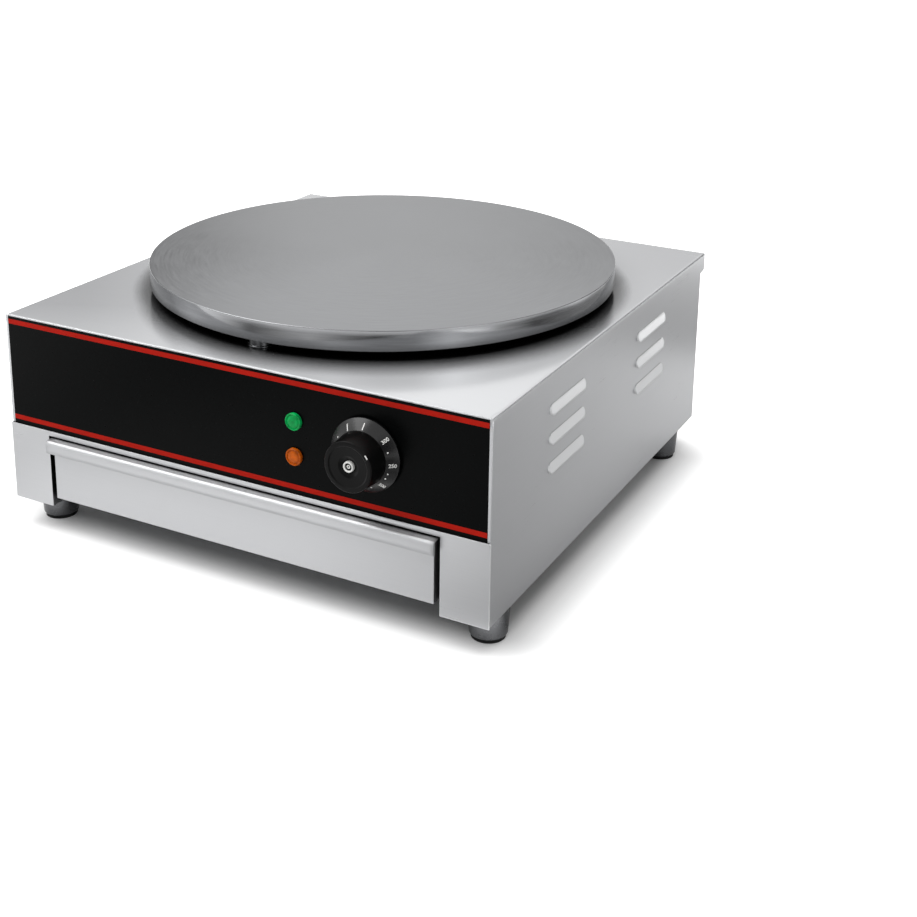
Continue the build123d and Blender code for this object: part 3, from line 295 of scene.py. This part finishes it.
finishes = {
    "satinStainless": makeSatinStainless("satinStainless", satinSteel),
    "frameStainless": makeSatinStainless("frameStainless", {**satinSteel, "roll": (0.0905, 0.002)}),
    # the drawer front: a rounder roll, and a weaker painted shade
    "foldedStainless": makeSatinStainless("foldedStainless", {
        **satinSteel, "roughness": (0.42, 0.48), "roll": (0.0735, 0.0055), "paintedShadeReach": (0.018, 0.018),
        "paintedShadeDepth": 0.7}),
    # mill-finished inner parts, duller, and darker still as painted shade in the gaps where they show
    "millAndShadeStainless": makeSatinStainless("millAndShadeStainless", {
        **satinSteel, "tone": "#8a8c8f", "roughness": (0.36, 0.46)}),
    "machinedIron": makeMachinedIron("machinedIron", griddleIron),
    "polyesterFilm": makeSmooth("polyesterFilm", "#040505", 0.3, specular=0.045, depth=0.000002, spread=0.05),
    "screenInkRed": makeSmooth("screenInkRed", "#b61e12", 0.35, specular=0.04, depth=0.000002, grit=900.0),
    "phenolicBlack": makeSmooth("phenolicBlack", "#0a0a0b", 0.24, specular=0.4, depth=0.000008),
    "phenolicMatt": makeSmooth("phenolicMatt", "#070707", 0.34, specular=0.12, depth=0.000008),
    "markingWhite": makeSmooth("markingWhite", "#e9e9e6", 0.5, spread=0.04),
    "polycarbonateGreen": makeSmooth("polycarbonateGreen", "#0bb45a", 0.2, grit=2400.0, specular=0.12,
                                     spread=0.5),
    "polycarbonateOrange": makeSmooth("polycarbonateOrange", "#d0600a", 0.2, grit=2400.0, specular=0.12,
                                      spread=0.5),
    "nylonNatural": makeSmooth("nylonNatural", "#c9c7bd", 0.45),
    "zincPlate": makeSmooth("zincPlate", "#b4b6b5", 0.3, metallic=1.0),
    "nickelDark": makeSmooth("nickelDark", "#747577", 0.26, metallic=1.0, grit=250.0, turned=0.4),
    "rubberBlack": makeSmooth("rubberBlack", "#151515", 0.75, specular=0.3),
    "nickelAlloySheath": makeSmooth("nickelAlloySheath", "#5d5a54", 0.5, metallic=1.0),
    "ceramicWool": makeSmooth("ceramicWool", "#dcd9ce", 0.95, grit=700.0, depth=0.0008, specular=0.1),
    "steatite": makeSmooth("steatite", "#d8d4c6", 0.55),
    "thermosetBlack": makeSmooth("thermosetBlack", "#1d1d1e", 0.5),
    "copperDrawn": makeSmooth("copperDrawn", "#c98a62", 0.28, metallic=1.0),
    "brassTurned": makeSmooth("brassTurned", "#c8a65a", 0.25, metallic=1.0),
    "siliconeBrown": makeSmooth("siliconeBrown", "#5a3420", 0.6),
    "siliconeBlue": makeSmooth("siliconeBlue", "#2b4f93", 0.6),
    "siliconeGreen": makeSmooth("siliconeGreen", "#4d8a2f", 0.6),
    "siliconeRed": makeSmooth("siliconeRed", "#8f2620", 0.6),
    "nylonBlack": makeSmooth("nylonBlack", "#1a1a1b", 0.45),
}

slotFinish = {
    "stainless_case": "satinStainless", "stainless_inner": "millAndShadeStainless", "cast_griddle": "machinedIron",
    "black_overlay": "polyesterFilm", "black_knob": "phenolicBlack", "knob_white": "markingWhite",
    "green_lens": "polycarbonateGreen", "orange_lens": "polycarbonateOrange", "lamp_barrel": "nylonNatural",
    "zinc_fastener": "zincPlate", "foot_metal": "nickelDark", "foot_rubber": "rubberBlack",
    "element_sheath": "nickelAlloySheath", "ceramic_wool": "ceramicWool", "ceramic": "steatite",
    "thermostat_case": "thermosetBlack", "copper": "copperDrawn", "wire_brown": "siliconeBrown",
    "wire_blue": "siliconeBlue", "wire_green": "siliconeGreen", "wire_red": "siliconeRed",
    "gland_nylon": "nylonBlack", "brass_stud": "brassTurned",
}
nodeFinish = {"tray_front": "foldedStainless", "lower_front_frame": "frameStainless"}
slotOf = {part["node"]: part["material_slot"] for part in frame["record"]["subparts"]}
for node, piece in nodes.items():
    finish = nodeFinish.get(node, slotFinish[slotOf[node]])
    for materialSlot in piece.material_slots:
        materialSlot.material = finishes[finish]
print("finishes:", len(finishes))


def sharpen(mesh, degrees=32):
    # smooth faces, with a crease kept wherever two faces meet at more than the angle
    shape = bmesh.new()
    shape.from_mesh(mesh)
    bmesh.ops.remove_doubles(shape, verts=shape.verts, dist=1e-6)
    bmesh.ops.recalc_face_normals(shape, faces=shape.faces)
    limit = np.radians(degrees)
    for edge in shape.edges:
        edge.smooth = not (edge.is_manifold and edge.calc_face_angle(0.0) > limit)
    for face in shape.faces:
        face.smooth = True
    shape.to_mesh(mesh)
    shape.free()


def addPiece(name, points, faces, body, finish, replaced=()):
    # faces are an array of quads, or a list where their sizes differ
    mesh = bpy.data.meshes.new(name)
    faces = faces if isinstance(faces, list) else faces.tolist()
    mesh.from_pydata(np.asarray(points).reshape(-1, 3).tolist(), [], faces)
    mesh.update()
    sharpen(mesh)
    mesh.materials.append(finishes[finish])
    piece = bpy.data.objects.new(name, mesh)
    bpy.context.scene.collection.objects.link(piece)
    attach(piece, body)
    if replaced:
        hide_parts(*replaced)
    return piece


def gridFaces(rows, columns, closeRows=False, closeColumns=True):
    # quads between neighbouring points of a rows x columns grid, wrapped round where it closes
    i, j = np.meshgrid(np.arange(rows if closeRows else rows - 1),
                       np.arange(columns if closeColumns else columns - 1), indexing="ij")
    i, j = i.ravel(), j.ravel()
    down, right = (i + 1) % rows, (j + 1) % columns
    return np.stack([i * columns + j, i * columns + right, down * columns + right, down * columns + j], 1)


def rounded(corners, steps=5):
    # outline with each (radius, height, rounding) corner replaced by an arc that touches both its sides
    corners = np.array(corners, float)
    out = []
    for k in range(len(corners)):
        point, size = corners[k, :2], corners[k, 2]
        if size == 0 or k in (0, len(corners) - 1):
            out.append(point[None])
            continue
        before, after = corners[k - 1, :2] - point, corners[k + 1, :2] - point
        before, after = before / np.linalg.norm(before), after / np.linalg.norm(after)
        half = np.arccos(np.clip(before @ after, -1, 1)) / 2
        middle = point + (before + after) / np.linalg.norm(before + after) * size / np.sin(half)
        start, end = point + before * size / np.tan(half), point + after * size / np.tan(half)
        t = np.linspace(0, 1, steps)[:, None]
        arc = start * (1 - t) + end * t - middle
        out.append(middle + arc / np.linalg.norm(arc, axis=1)[:, None] * size)
    return np.concatenate(out)


def turnedPoints(outline, segments, centre, axis):
    # outline of (radius, height) carried once round an axis: z is up, y is out of the front
    turn = np.linspace(0, 2 * np.pi, segments, endpoint=False)
    radius, height = outline[:, :1], outline[:, 1:2] + 0 * turn
    a, b = radius * np.cos(turn), radius * np.sin(turn)
    parts = (a, b, height) if axis == "z" else (a, -height, b)
    return np.stack(parts, -1) + np.array(centre)


def turnedPiece(name, corners, segments, centre, axis, body, finish, replaced=(), steps=5):
    outline = rounded(corners, steps) * mm
    points = turnedPoints(outline, segments, centre, axis)
    return addPiece(name, points, gridFaces(len(outline), segments), body, finish, replaced)


panelPrint = {
    "bands": ((95.8, 99.8), (178.1, 182.1)),   # heights of the two red bands
    "thickness": 0.06,
    "margin": 0.1,                              # from the panel's ends
}
overlayLow, overlayHigh = (np.array(corner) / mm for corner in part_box("control_overlay"))
bandPoints, bandFaces = [], []
for low, high in panelPrint["bands"]:
    # a thin flat bar of print: eight corners, six quads
    x, y, z = np.meshgrid((overlayLow[0] + panelPrint["margin"], overlayHigh[0] - panelPrint["margin"]),
                          (overlayLow[1] - panelPrint["thickness"], overlayLow[1]), (low, high), indexing="ij")
    bandFaces.append(np.array([[0, 1, 3, 2], [4, 6, 7, 5], [0, 4, 5, 1],
                               [2, 3, 7, 6], [0, 2, 6, 4], [1, 5, 7, 3]]) + 8 * len(bandPoints))
    bandPoints.append(np.stack([x, y, z], -1).reshape(-1, 3) * mm)
addPiece("panel_bands", np.concatenate(bandPoints), np.concatenate(bandFaces), "housing",
         "screenInkRed")
print("housing done")

griddle = {"radius": 200.0, "edge": 0.7, "segments": 360}
plateLow, plateHigh = (np.array(corner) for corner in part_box("griddle_plate"))
plateCentre = (0.0, (plateLow[1] + plateHigh[1]) / 2, plateLow[2])
thick = (plateHigh[2] - plateLow[2]) / mm
turnedPiece("griddle", [(0, 0, 0), (griddle["radius"], 0, griddle["edge"]),
                        (griddle["radius"], thick, griddle["edge"]), (0, thick, 0)],
            griddle["segments"], plateCentre, "z", "housing", "machinedIron",
            ("griddle_plate",))

post = {
    "bore": 4.1, "foot": 10.0, "waist": 9.2,
    "footRise": 1.4, "neck": 0.7,      # heights of the foot ring and of the slope above it
    "footEdge": 0.3, "waistEdge": 0.2,
    "reach": 187.0, "angles": (-90, 30, 150),
    "segments": 64,
}


def addPosts():
    # three short posts: a foot ring below and a slimmer body above
    low, high = (corner[2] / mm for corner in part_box("plate_spacers"))
    shoulder = low + post["footRise"]
    outline = rounded([(post["bore"], low, 0), (post["foot"], low, post["footEdge"]),
                       (post["foot"], shoulder, post["footEdge"]),
                       (post["waist"], shoulder + post["neck"], post["waistEdge"]), (post["waist"], high, 0),
                       (post["bore"], high, 0)]) * mm
    ring = gridFaces(len(outline), post["segments"], closeRows=True)
    points, faces = [], []
    for k, angle in enumerate(np.radians(post["angles"])):
        centre = (post["reach"] * mm * np.cos(angle), plateCentre[1] + post["reach"] * mm * np.sin(angle), 0)
        points.append(turnedPoints(outline, post["segments"], centre, "z").reshape(-1, 3))
        faces.append(ring + k * len(points[0]))
    addPiece("griddle_posts", np.concatenate(points), np.concatenate(faces), "housing",
             "nickelDark", ("plate_spacers",))


addPosts()
print("griddle done")

knob = {
    "dialEdge": (28.4, 3.2),           # radius and distance from the panel where the cone starts
    "dialTop": (20.8, 9.2),            # where the cone meets the grip
    "gripTip": (19.3, 27.0),
    "shaftBore": 3.2,
    "dialThick": 2.0,                  # of the dial's outer edge
    "dialHollow": (7.5, 24.0, 4.5),    # inner and outer radius, and depth, of the hollow behind it
    "gripCollar": 0.6,
    # the grip's end: (radius, depth behind the tip, rounding)
    "gripFace": ((16.2, 0, 0.3), (15.2, 0.7, 0.4), (8.4, 0.9, 0.6), (4.75, 2.6, 0.2), (4.75, 3.5, 0)),
    # the insert's rings: inner and outer radius, and depth of the front behind the tip
    "rings": (("knob_ring", 2.9, 4.1, 0.5), ("knob_dot", 0.55, 1.5, 1.2)),
    "ringBack": 3.4,
    "core": (2.9, 1.7, 1.5, 3.45),     # radius, depths of the edge and the middle, and of the back
    "segments": 160, "ringSegments": 96, "coreSegments": 48,
}
# a white stroke where the drum's rim shows a glint: a pointer mark and a painted highlight
pointerGlint = {"from": 31.0, "to": 40.5, "width": 0.9, "inset": 0.2, "lift": (-0.25, 0.05), "steps": 8}
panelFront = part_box("control_overlay")[0][1]
dialLow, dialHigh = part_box("knob_dial")
knobCentre = ((dialLow[0] + dialHigh[0]) / 2, panelFront, (dialLow[2] + dialHigh[2]) / 2)


def addKnob():
    edgeRadius, edgeOut = knob["dialEdge"]
    topRadius, topOut = knob["dialTop"]
    tipRadius, tipOut = knob["gripTip"]
    back = edgeOut - knob["dialThick"]
    bore, (hub, dish, hollow) = knob["shaftBore"], knob["dialHollow"]
    dial = rounded([(bore, topOut, 0), (topRadius, topOut, 0.2), (edgeRadius, edgeOut, 0.4),
                    (edgeRadius, back, 0.3), (dish, back, 0.3), (dish, back + hollow, 0.3),
                    (hub, back + hollow, 0.3), (hub, back, 0.2), (bore, back, 0)]) * mm
    addPiece("knob_skirt", turnedPoints(dial, knob["segments"], knobCentre, "y"),
             gridFaces(len(dial), knob["segments"], closeRows=True), "knob", "phenolicBlack",
             ("knob_dial",))
    face = [(radius, tipOut - depth, size) for radius, depth, size in knob["gripFace"]]
    turnedPiece("knob_drum", [(0, topOut, 0), (topRadius, topOut, 0),
                              (topRadius, topOut + knob["gripCollar"], 0.2), (tipRadius, tipOut, 0.9), *face,
                              (0, face[-1][1], 0)],
                knob["segments"], knobCentre, "y", "knob", "phenolicMatt", ("knob_grip",))
    behind, segments = tipOut - knob["ringBack"], knob["ringSegments"]
    for name, inner, outer, depth in knob["rings"]:
        front = tipOut - depth
        ring = rounded([(inner, behind, 0), (outer, behind, 0), (outer, front, 0.4), (inner, front, 0.4),
                        (inner, behind, 0)])[:-1] * mm
        addPiece(name, turnedPoints(ring, segments, knobCentre, "y"),
                 gridFaces(len(ring), segments, closeRows=True), "knob", "markingWhite",
                 ("knob_insert",) if name == "knob_ring" else ())
    radius, edge, middle, floor = knob["core"]
    turnedPiece("knob_core", [(0, tipOut - floor, 0), (radius, tipOut - floor, 0), (radius, tipOut - edge, 0.2),
                              (0, tipOut - middle, 0)],
                knob["coreSegments"], knobCentre, "y", "knob", "phenolicMatt")


def barFaces(steps):
    # a loop of four corners carried along, with both ends capped
    last = 4 * steps
    return gridFaces(steps, 4).tolist() + [[3, 2, 1, 0], [last - 4, last - 3, last - 2, last - 1]]


def addPointerGlint():
    # a short white stroke along the rim of the drum, lying where the rim shows a glint: a pointer mark and a
    # painted highlight
    tipRadius, tipOut = knob["gripTip"]
    turn = np.radians(np.linspace(pointerGlint["from"], pointerGlint["to"], pointerGlint["steps"]))[:, None]
    near = pointerGlint["inset"]
    reach = tipRadius - np.array([near, pointerGlint["width"] + near, pointerGlint["width"] + near, near])
    under, over = pointerGlint["lift"]
    out = tipOut + np.array([under, under, over, over]) + 0 * turn
    points = np.stack([reach * np.cos(turn) * mm + knobCentre[0], knobCentre[1] - out * mm,
                       reach * np.sin(turn) * mm + knobCentre[2]], -1)
    addPiece("knob_pointer_glint", points, barFaces(pointerGlint["steps"]), "knob", "markingWhite")


scale = {
    "ticks": (121.0, 87.5),            # degrees anticlockwise from the right
    "tick": (0.9, 6.4, 0.85),          # start and end down the slope, and width
    "dot": (2.6, 0.6),                 # middle down the slope, and radius
    "numbers": {"50": 173.0, "100": 218.5, "150": 264.0, "200": 310.0, "250": 355.5, "300": 41.0},
    "dots": (21.0, 339.0, 328.0, 290.0, 245.0, 196.0, 150.0),
    "digitSize": 4.0,
    "digitWeight": 0.09,
    "printDepth": 0.06,
}


def onCone(along, across, lift, degrees):
    # a flat (along, across) pattern laid on the cone: along runs down its slope from the grip
    # outwards, across runs round it, lift stands off it
    edgeRadius, edgeOut = knob["dialEdge"]
    topRadius, topOut = knob["dialTop"]
    slope = np.array([edgeRadius - topRadius, edgeOut - topOut])
    slope = slope / np.linalg.norm(slope)
    normal = np.array([-slope[1], slope[0]])
    radius = topRadius + along * slope[0] + lift * normal[0]
    out = topOut + along * slope[1] + lift * normal[1]
    turn = np.radians(degrees) + across / radius
    return np.stack([radius * np.cos(turn) * mm + knobCentre[0], knobCentre[1] - out * mm,
                     radius * np.sin(turn) * mm + knobCentre[2]], -1)


def barPattern(start, finish, width, depth, steps=8):
    # closed flat bar from start to finish
    along = np.linspace(start, finish, steps)[:, None] + np.zeros(4)
    across = np.array([-width, width, width, -width]) / 2 + 0 * along
    lift = np.array([0, 0, depth, depth]) + 0 * along
    return along, across, lift, barFaces(steps)


def discPattern(middle, radius, depth, segments=20):
    turn = np.linspace(0, 2 * np.pi, segments, endpoint=False)
    ring = np.array([0.0, radius, radius, 0.0])[:, None]
    lift = np.array([0.0, 0.0, depth, depth])[:, None] + 0 * turn
    return middle + ring * np.cos(turn), ring * np.sin(turn), lift, gridFaces(4, segments).tolist()


def digitPattern(text):
    # outline digits as a thin solid, read back as points before they are bent
    curve = bpy.data.curves.new("digits", "FONT")
    curve.body = text
    curve.size = scale["digitSize"]
    curve.offset = scale["digitWeight"]
    curve.extrude = scale["printDepth"] / 2
    curve.align_y = "CENTER"
    curve.resolution_u = 3
    holder = bpy.data.objects.new("digits", curve)
    bpy.context.scene.collection.objects.link(holder)
    mesh = bpy.data.meshes.new_from_object(holder.evaluated_get(bpy.context.evaluated_depsgraph_get()))
    points = np.zeros(len(mesh.vertices) * 3)
    mesh.vertices.foreach_get("co", points)
    points = points.reshape(-1, 3)
    faces = [list(face.vertices) for face in mesh.polygons]
    bpy.data.objects.remove(holder)
    bpy.data.meshes.remove(mesh)
    bpy.data.curves.remove(curve)
    return points[:, 0], points[:, 1], points[:, 2] + scale["printDepth"] / 2, faces


def addScale():
    parts = [(barPattern(*scale["tick"], scale["printDepth"]), angle) for angle in scale["ticks"]]
    parts += [(discPattern(*scale["dot"], scale["printDepth"]), angle) for angle in scale["dots"]]
    slopeLength = np.hypot(knob["dialEdge"][0] - knob["dialTop"][0], knob["dialEdge"][1] - knob["dialTop"][1])
    for text, angle in scale["numbers"].items():
        along, across, lift, faces = digitPattern(text)
        along = along - (along.min() + along.max()) / 2 + slopeLength / 2
        parts.append(((along, across, lift, faces), angle))
    points, faces, count = [], [], 0
    for (along, across, lift, quads), angle in parts:
        placed = onCone(along, across, lift, angle).reshape(-1, 3)
        points.append(placed)
        faces += [[k + count for k in face] for face in quads]
        count += len(placed)
    addPiece("dial_print", np.concatenate(points), faces, "knob", "markingWhite")


addKnob()
addPointerGlint()
addScale()
print("knob done")

# a rim, a groove and a low domed middle: shares of the radius and the height, and rounding in mm
lamp = {
    "radius": 6.8, "height": 2.6, "segments": 96,
    "outline": ((0, 0, 0), (1, 0, 0), (1, 0.8, 0.5), (0.93, 1, 0.25), (0.86, 1, 0.25), (0.8, 0.66, 0.25),
                (0.74, 0.7, 0.2), (0.6, 0.95, 1.5), (0, 1, 0)),
}
for name, finish in (("power", "polycarbonateGreen"), ("heating", "polycarbonateOrange")):
    low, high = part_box(f"{name}_lamp_lens")
    centre = ((low[0] + high[0]) / 2, panelFront, (low[2] + high[2]) / 2)
    corners = [(radius * lamp["radius"], height * lamp["height"], size)
               for radius, height, size in lamp["outline"]]
    turnedPiece(f"{name}_lens", corners, lamp["segments"], centre, "y", "housing",
                finish, (f"{name}_lamp_lens",))

foot = {"top": 16.0, "base": 14.4, "topEdge": 0.5, "baseEdge": 2.2, "pocket": 7.8, "bore": 4.1, "segments": 96}
for corner in ("front_left", "front_right", "rear_left", "rear_right"):
    low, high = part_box(f"foot_{corner}")
    x, y = (low[0] + high[0]) / 2, (low[1] + high[1]) / 2
    z0, z1 = low[2] / mm, high[2] / mm
    middle = (z0 + z1) / 2
    cup = rounded([(foot["pocket"], z0, 0), (foot["base"], z0, foot["baseEdge"]),
                   (foot["top"], z1, foot["topEdge"]), (foot["bore"], z1, 0), (foot["bore"], middle, 0),
                   (foot["pocket"], middle, 0)], steps=8) * mm
    addPiece(f"cup_{corner}", turnedPoints(cup, foot["segments"], (x, y, 0), "z"),
             gridFaces(len(cup), foot["segments"], closeRows=True), "housing", "nickelDark",
             (f"foot_{corner}",))
print("lamps and feet done")

room = {
    "floor": "#ececec",
    "floorReach": 6.0,
    "floorLift": 0.8,                    # added where the eye sees the open floor
    "liftStart": (0.208, 0.176),         # half width and half depth of the patch left to its own shadow
    "liftBlend": 0.075,
    "glossLift": 0.45,                   # added where gloss sees it
    "skyForLight": 0.5,
    "skyFoot": (0.05, 0.35),             # sine of the height over which the sky begins to light things
    "aim": (0.0, 0.0, 0.1),
    "key": {"place": (-1.2, -1.0, 2.0), "size": (1.6, 1.6), "watts": 30.0, "inGloss": True},
    "top": {"place": (0.1, 0.0, 2.2), "size": (2.2, 2.2), "watts": 32.0, "inGloss": False},
}
# what gloss sees: cards round the housing, by angle from the right (degrees) and brightness; on the floor they
# are painted light and shade
floorCards = ((-172, 0.6), (-150, 1.6), (-118, 0.15), (-90, 0.6), (-62, 0.0), (-46, 0.1), (-30, 2.7),
              (-10, 0.6), (8, 0.1), (33, 0.3), (55, 0.3), (85, 0.7), (160, 1.5))
wallCards = ((-179, 1.0), (-164, 2.0), (-135, 0.5), (-116, 0.1), (-98, 0.4), (-84, 1.2), (-62, 0.0),
             (-46, 0.2), (-27, 3.2), (-8, 1.0), (16, 0.1), (48, 0.1), (72, 0.2), (95, 0.8), (109, 0.8),
             (118, 1.1), (125, 1.12), (132, 0.34), (170, 0.6))
# the floor cards' share by distance from the middle
cardRing = ((0.52, 0.0), (0.66, 1.0), (0.97, 1.0), (1.1, 0.0))
# sine of the height over which the wall cards end, and brightness by that sine
wallFade = (0.4, 0.52)
skyByHeight = ((0.0, 0.9), (0.1, 0.8), (0.18, 0.73), (0.28, 0.68), (0.38, 1.25), (0.5, 1.32), (0.7, 1.18),
               (0.85, 1.0), (1.0, 0.9))
# painted shade and light on the floor close by, seen only in reflections, as the right side shows it:
# brightness by depth, and where that holds
beside = {
    # painted light: a bright patch on the floor by the right front foot, which the foot's reflection shows
    "cards": ((-0.26, 0.2), (-0.24, 1.4), (-0.2, 1.4), (-0.17, 0.28), (-0.12, 0.36), (-0.05, 0.44),
              (0.08, 0.54), (0.2, 0.62), (0.3, 0.68), (0.42, 0.67), (0.5, 0.63)),
    "slantOver": (0.26, 0.39), "slant": 0.32,        # the depths slide back with the distance
    "leastOver": (0.25, 0.27), "least": (-0.5, -0.17),    # no nearer to the front than this
    "leftOver": (-0.32, -0.2), "left": (0.6, 0.88),
    "rightOver": (-0.02, 0.3),
    "behindOver": (0.4, 0.55), "behindReach": 0.12,
    "farOver": (0.97, 1.1), "far": (1.1, 1.45),      # open floor at the front and behind
}


def addCards(tree, parts, cards):
    # brightness by the angle of a place or a direction round the upright axis
    angle = addNode(tree, "Math", {0: parts["Y"], 1: parts["X"]}, operation="ARCTAN2").outputs[0]
    around = addNode(tree, "MapRange", {0: angle, 1: -np.pi, 2: np.pi}).outputs[0]
    return addLevels(tree, around, [((turn + 180) / 360, light) for turn, light in cards])


def addBlend(tree, value, span, ends, **settings):
    # from one end to the other as the value crosses the span
    return addNode(tree, "MapRange", {0: value, 1: span[0], 2: span[1], 3: ends[0], 4: ends[1]},
                   **settings).outputs[0]


def addRayKinds(tree):
    # what looks at the surface: the eye, or gloss and clear pieces
    seen = addNode(tree, "LightPath").outputs
    gloss = addNode(tree, "Math", {0: seen["Is Glossy Ray"], 1: seen["Is Transmission Ray"]},
                    operation="MAXIMUM").outputs[0]
    return seen["Is Camera Ray"], gloss


def makeBackdrop(name):
    # pale floor that keeps the shadow but shows white to the eye; to gloss it shows painted shade and light
    material, tree, shader, place = newMaterial(name)
    toEye, gloss = addRayKinds(tree)
    # distance outside a rectangle round the housing, from what each coordinate has beyond its half size
    away = addNode(tree, "VectorMath", {0: place}, operation="ABSOLUTE").outputs[0]
    away = addNode(tree, "VectorMath", {0: away, 1: (*room["liftStart"], 1.0)}, operation="SUBTRACT").outputs[0]
    away = addNode(tree, "VectorMath", {0: away, 1: (0, 0, 0)}, operation="MAXIMUM").outputs[0]
    away = addNode(tree, "VectorMath", {0: away}, operation="LENGTH").outputs["Value"]
    openness = addBlend(tree, away, (0.0, room["liftBlend"]), (0.0, 1.0), interpolation_type="SMOOTHSTEP")
    parts = addNode(tree, "SeparateXYZ", {"Vector": place}).outputs
    reach = addNode(tree, "VectorMath", {0: place}, operation="LENGTH").outputs["Value"]
    # for gloss only the floor's colour carries painted shade: dim beside the housing, more so towards the
    # front; far off behind it is bright
    slant = addBlend(tree, parts["X"], beside["slantOver"], (0.0, beside["slant"]))
    depth = addNode(tree, "Math", {0: parts["Y"], 1: slant}, operation="SUBTRACT").outputs[0]
    least = addBlend(tree, parts["X"], beside["leastOver"], beside["least"])
    depth = addNode(tree, "Math", {0: depth, 1: least}, operation="MAXIMUM").outputs[0]
    depth = addBlend(tree, depth, (-0.5, 0.5), (0.0, 1.0))
    dim = addLevels(tree, depth, [(where + 0.5, light) for where, light in beside["cards"]])
    left = addBlend(tree, parts["X"], beside["leftOver"], beside["left"])
    near = addBlend(tree, parts["X"], beside["rightOver"], (left, dim), interpolation_type="SMOOTHSTEP")
    behind = addBlend(tree, parts["Y"], beside["behindOver"], (0.0, 1.0))
    reach = addNode(tree, "Math", {0: behind, 1: beside["behindReach"], 2: reach},
                    operation="MULTIPLY_ADD").outputs[0]
    far = addBlend(tree, behind, (0.0, 1.0), beside["far"])
    near = addBlend(tree, reach, beside["farOver"], (near, far))
    card = addCards(tree, parts, floorCards)
    halfReach = addNode(tree, "Math", {0: reach, 1: 0.5}, operation="MULTIPLY").outputs[0]
    window = addNode(tree, "ValToRGB", {0: halfReach},
                     [(distance / 2, part) for distance, part in cardRing]).outputs[0]
    level = addNode(tree, "Mix", {0: window, 2: near, 3: card}).outputs[0]
    level = addNode(tree, "Mix", {0: gloss, 2: 1.0, 3: level}).outputs[0]
    tone = addNode(tree, "VectorMath", {0: colour(room["floor"])[:3], "Scale": level},
                   operation="SCALE").outputs[0]
    rays = addNode(tree, "Math", {0: toEye, 1: room["floorLift"]}, operation="MULTIPLY").outputs[0]
    rays = addNode(tree, "Math", {0: gloss, 1: room["glossLift"], 2: rays}, operation="MULTIPLY_ADD").outputs[0]
    lift = addNode(tree, "Math", {0: rays, 1: openness}, operation="MULTIPLY").outputs[0]
    lift = addNode(tree, "Math", {0: lift, 1: level}, operation="MULTIPLY").outputs[0]
    setShader(tree, shader, Base_Color=tone, Roughness=0.9, Specular_IOR_Level=0.0,
              Emission_Color=(1, 1, 1, 1), Emission_Strength=lift)
    return material


def makeFloor():
    mesh = bpy.data.meshes.new("floor")
    reach = room["floorReach"]
    mesh.from_pydata([(-reach, -reach, 0), (reach, -reach, 0), (reach, reach, 0), (-reach, reach, 0)], [],
                     [(0, 1, 2, 3)])
    mesh.materials.append(makeBackdrop("paleFloor"))
    floor = bpy.data.objects.new("floor", mesh)
    bpy.context.scene.collection.objects.link(floor)


def makeWorld():
    world = bpy.data.worlds.new("studio")
    bpy.context.scene.world = world
    world.use_nodes = True
    tree = world.node_tree
    toEye, gloss = addRayKinds(tree)
    # the room as gloss shows it: brightness by height, times the cards low down
    toward = addNode(tree, "SeparateXYZ", {"Vector": addNode(tree, "TexCoord").outputs["Generated"]}).outputs
    shown = addLevels(tree, toward["Z"], skyByHeight)
    above = addBlend(tree, toward["Z"], wallFade, (0.0, 1.0))
    wall = addNode(tree, "Mix", {0: above, 2: addCards(tree, toward, wallCards), 3: 1.0}).outputs[0]
    shown = addNode(tree, "Math", {0: shown, 1: wall}, operation="MULTIPLY").outputs[0]
    # for the light it casts the room is dark along its foot
    cast = addBlend(tree, toward["Z"], room["skyFoot"], (0.0, room["skyForLight"]))
    level = addNode(tree, "Mix", {0: gloss, 2: cast, 3: shown}).outputs[0]
    strength = addNode(tree, "Mix", {0: toEye, 2: level, 3: 1.0}).outputs[0]
    tree.links.new(strength, tree.nodes["Background"].inputs["Strength"])
    tree.nodes["Background"].inputs["Color"].default_value = (1, 1, 1, 1)


def addSoftbox(name, spec):
    # area light aimed at the middle of the housing
    light = bpy.data.lights.new(name, "AREA")
    light.energy = spec["watts"]
    light.shape = "RECTANGLE"
    light.size, light.size_y = spec["size"]
    softbox = bpy.data.objects.new(name, light)
    bpy.context.scene.collection.objects.link(softbox)
    softbox.location = spec["place"]
    aim = Vector(room["aim"]) - softbox.location
    softbox.rotation_euler = aim.to_track_quat("-Z", "Y").to_euler()
    softbox.visible_glossy = spec["inGloss"]


eye = {
    "place": (0.6231, -1.0577, 0.5835),
    "yaw": -27.246, "pitch": 15.857, "roll": 0.817,
    "lens": 58.375, "sensor": 36.0,
    "shift": -0.25,
}


def makeCamera():
    # forward from yaw and pitch; right stays level before the roll
    yaw, pitch, roll = (np.radians(eye[key]) for key in ("yaw", "pitch", "roll"))
    ahead = np.array([np.sin(yaw) * np.cos(pitch), np.cos(yaw) * np.cos(pitch), -np.sin(pitch)])
    right = np.array([np.cos(yaw), -np.sin(yaw), 0.0])
    up = np.cross(right, ahead)
    right, up = right * np.cos(roll) + up * np.sin(roll), up * np.cos(roll) - right * np.sin(roll)
    camera = bpy.data.objects.new("camera", bpy.data.cameras.new("camera"))
    camera.data.lens = eye["lens"]
    camera.data.sensor_width = eye["sensor"]
    camera.data.sensor_fit = "HORIZONTAL"
    camera.data.shift_y = eye["shift"]
    turn = np.eye(4)
    turn[:3, 0], turn[:3, 1], turn[:3, 2], turn[:3, 3] = right, up, -ahead, eye["place"]
    camera.matrix_world = Matrix(turn.tolist())
    bpy.context.scene.collection.objects.link(camera)
    bpy.context.scene.camera = camera


makeFloor()
makeWorld()
addSoftbox("keyLight", room["key"])
addSoftbox("topLight", room["top"])
makeCamera()
bpy.context.scene.view_settings.view_transform = "Standard"
print("stage done")
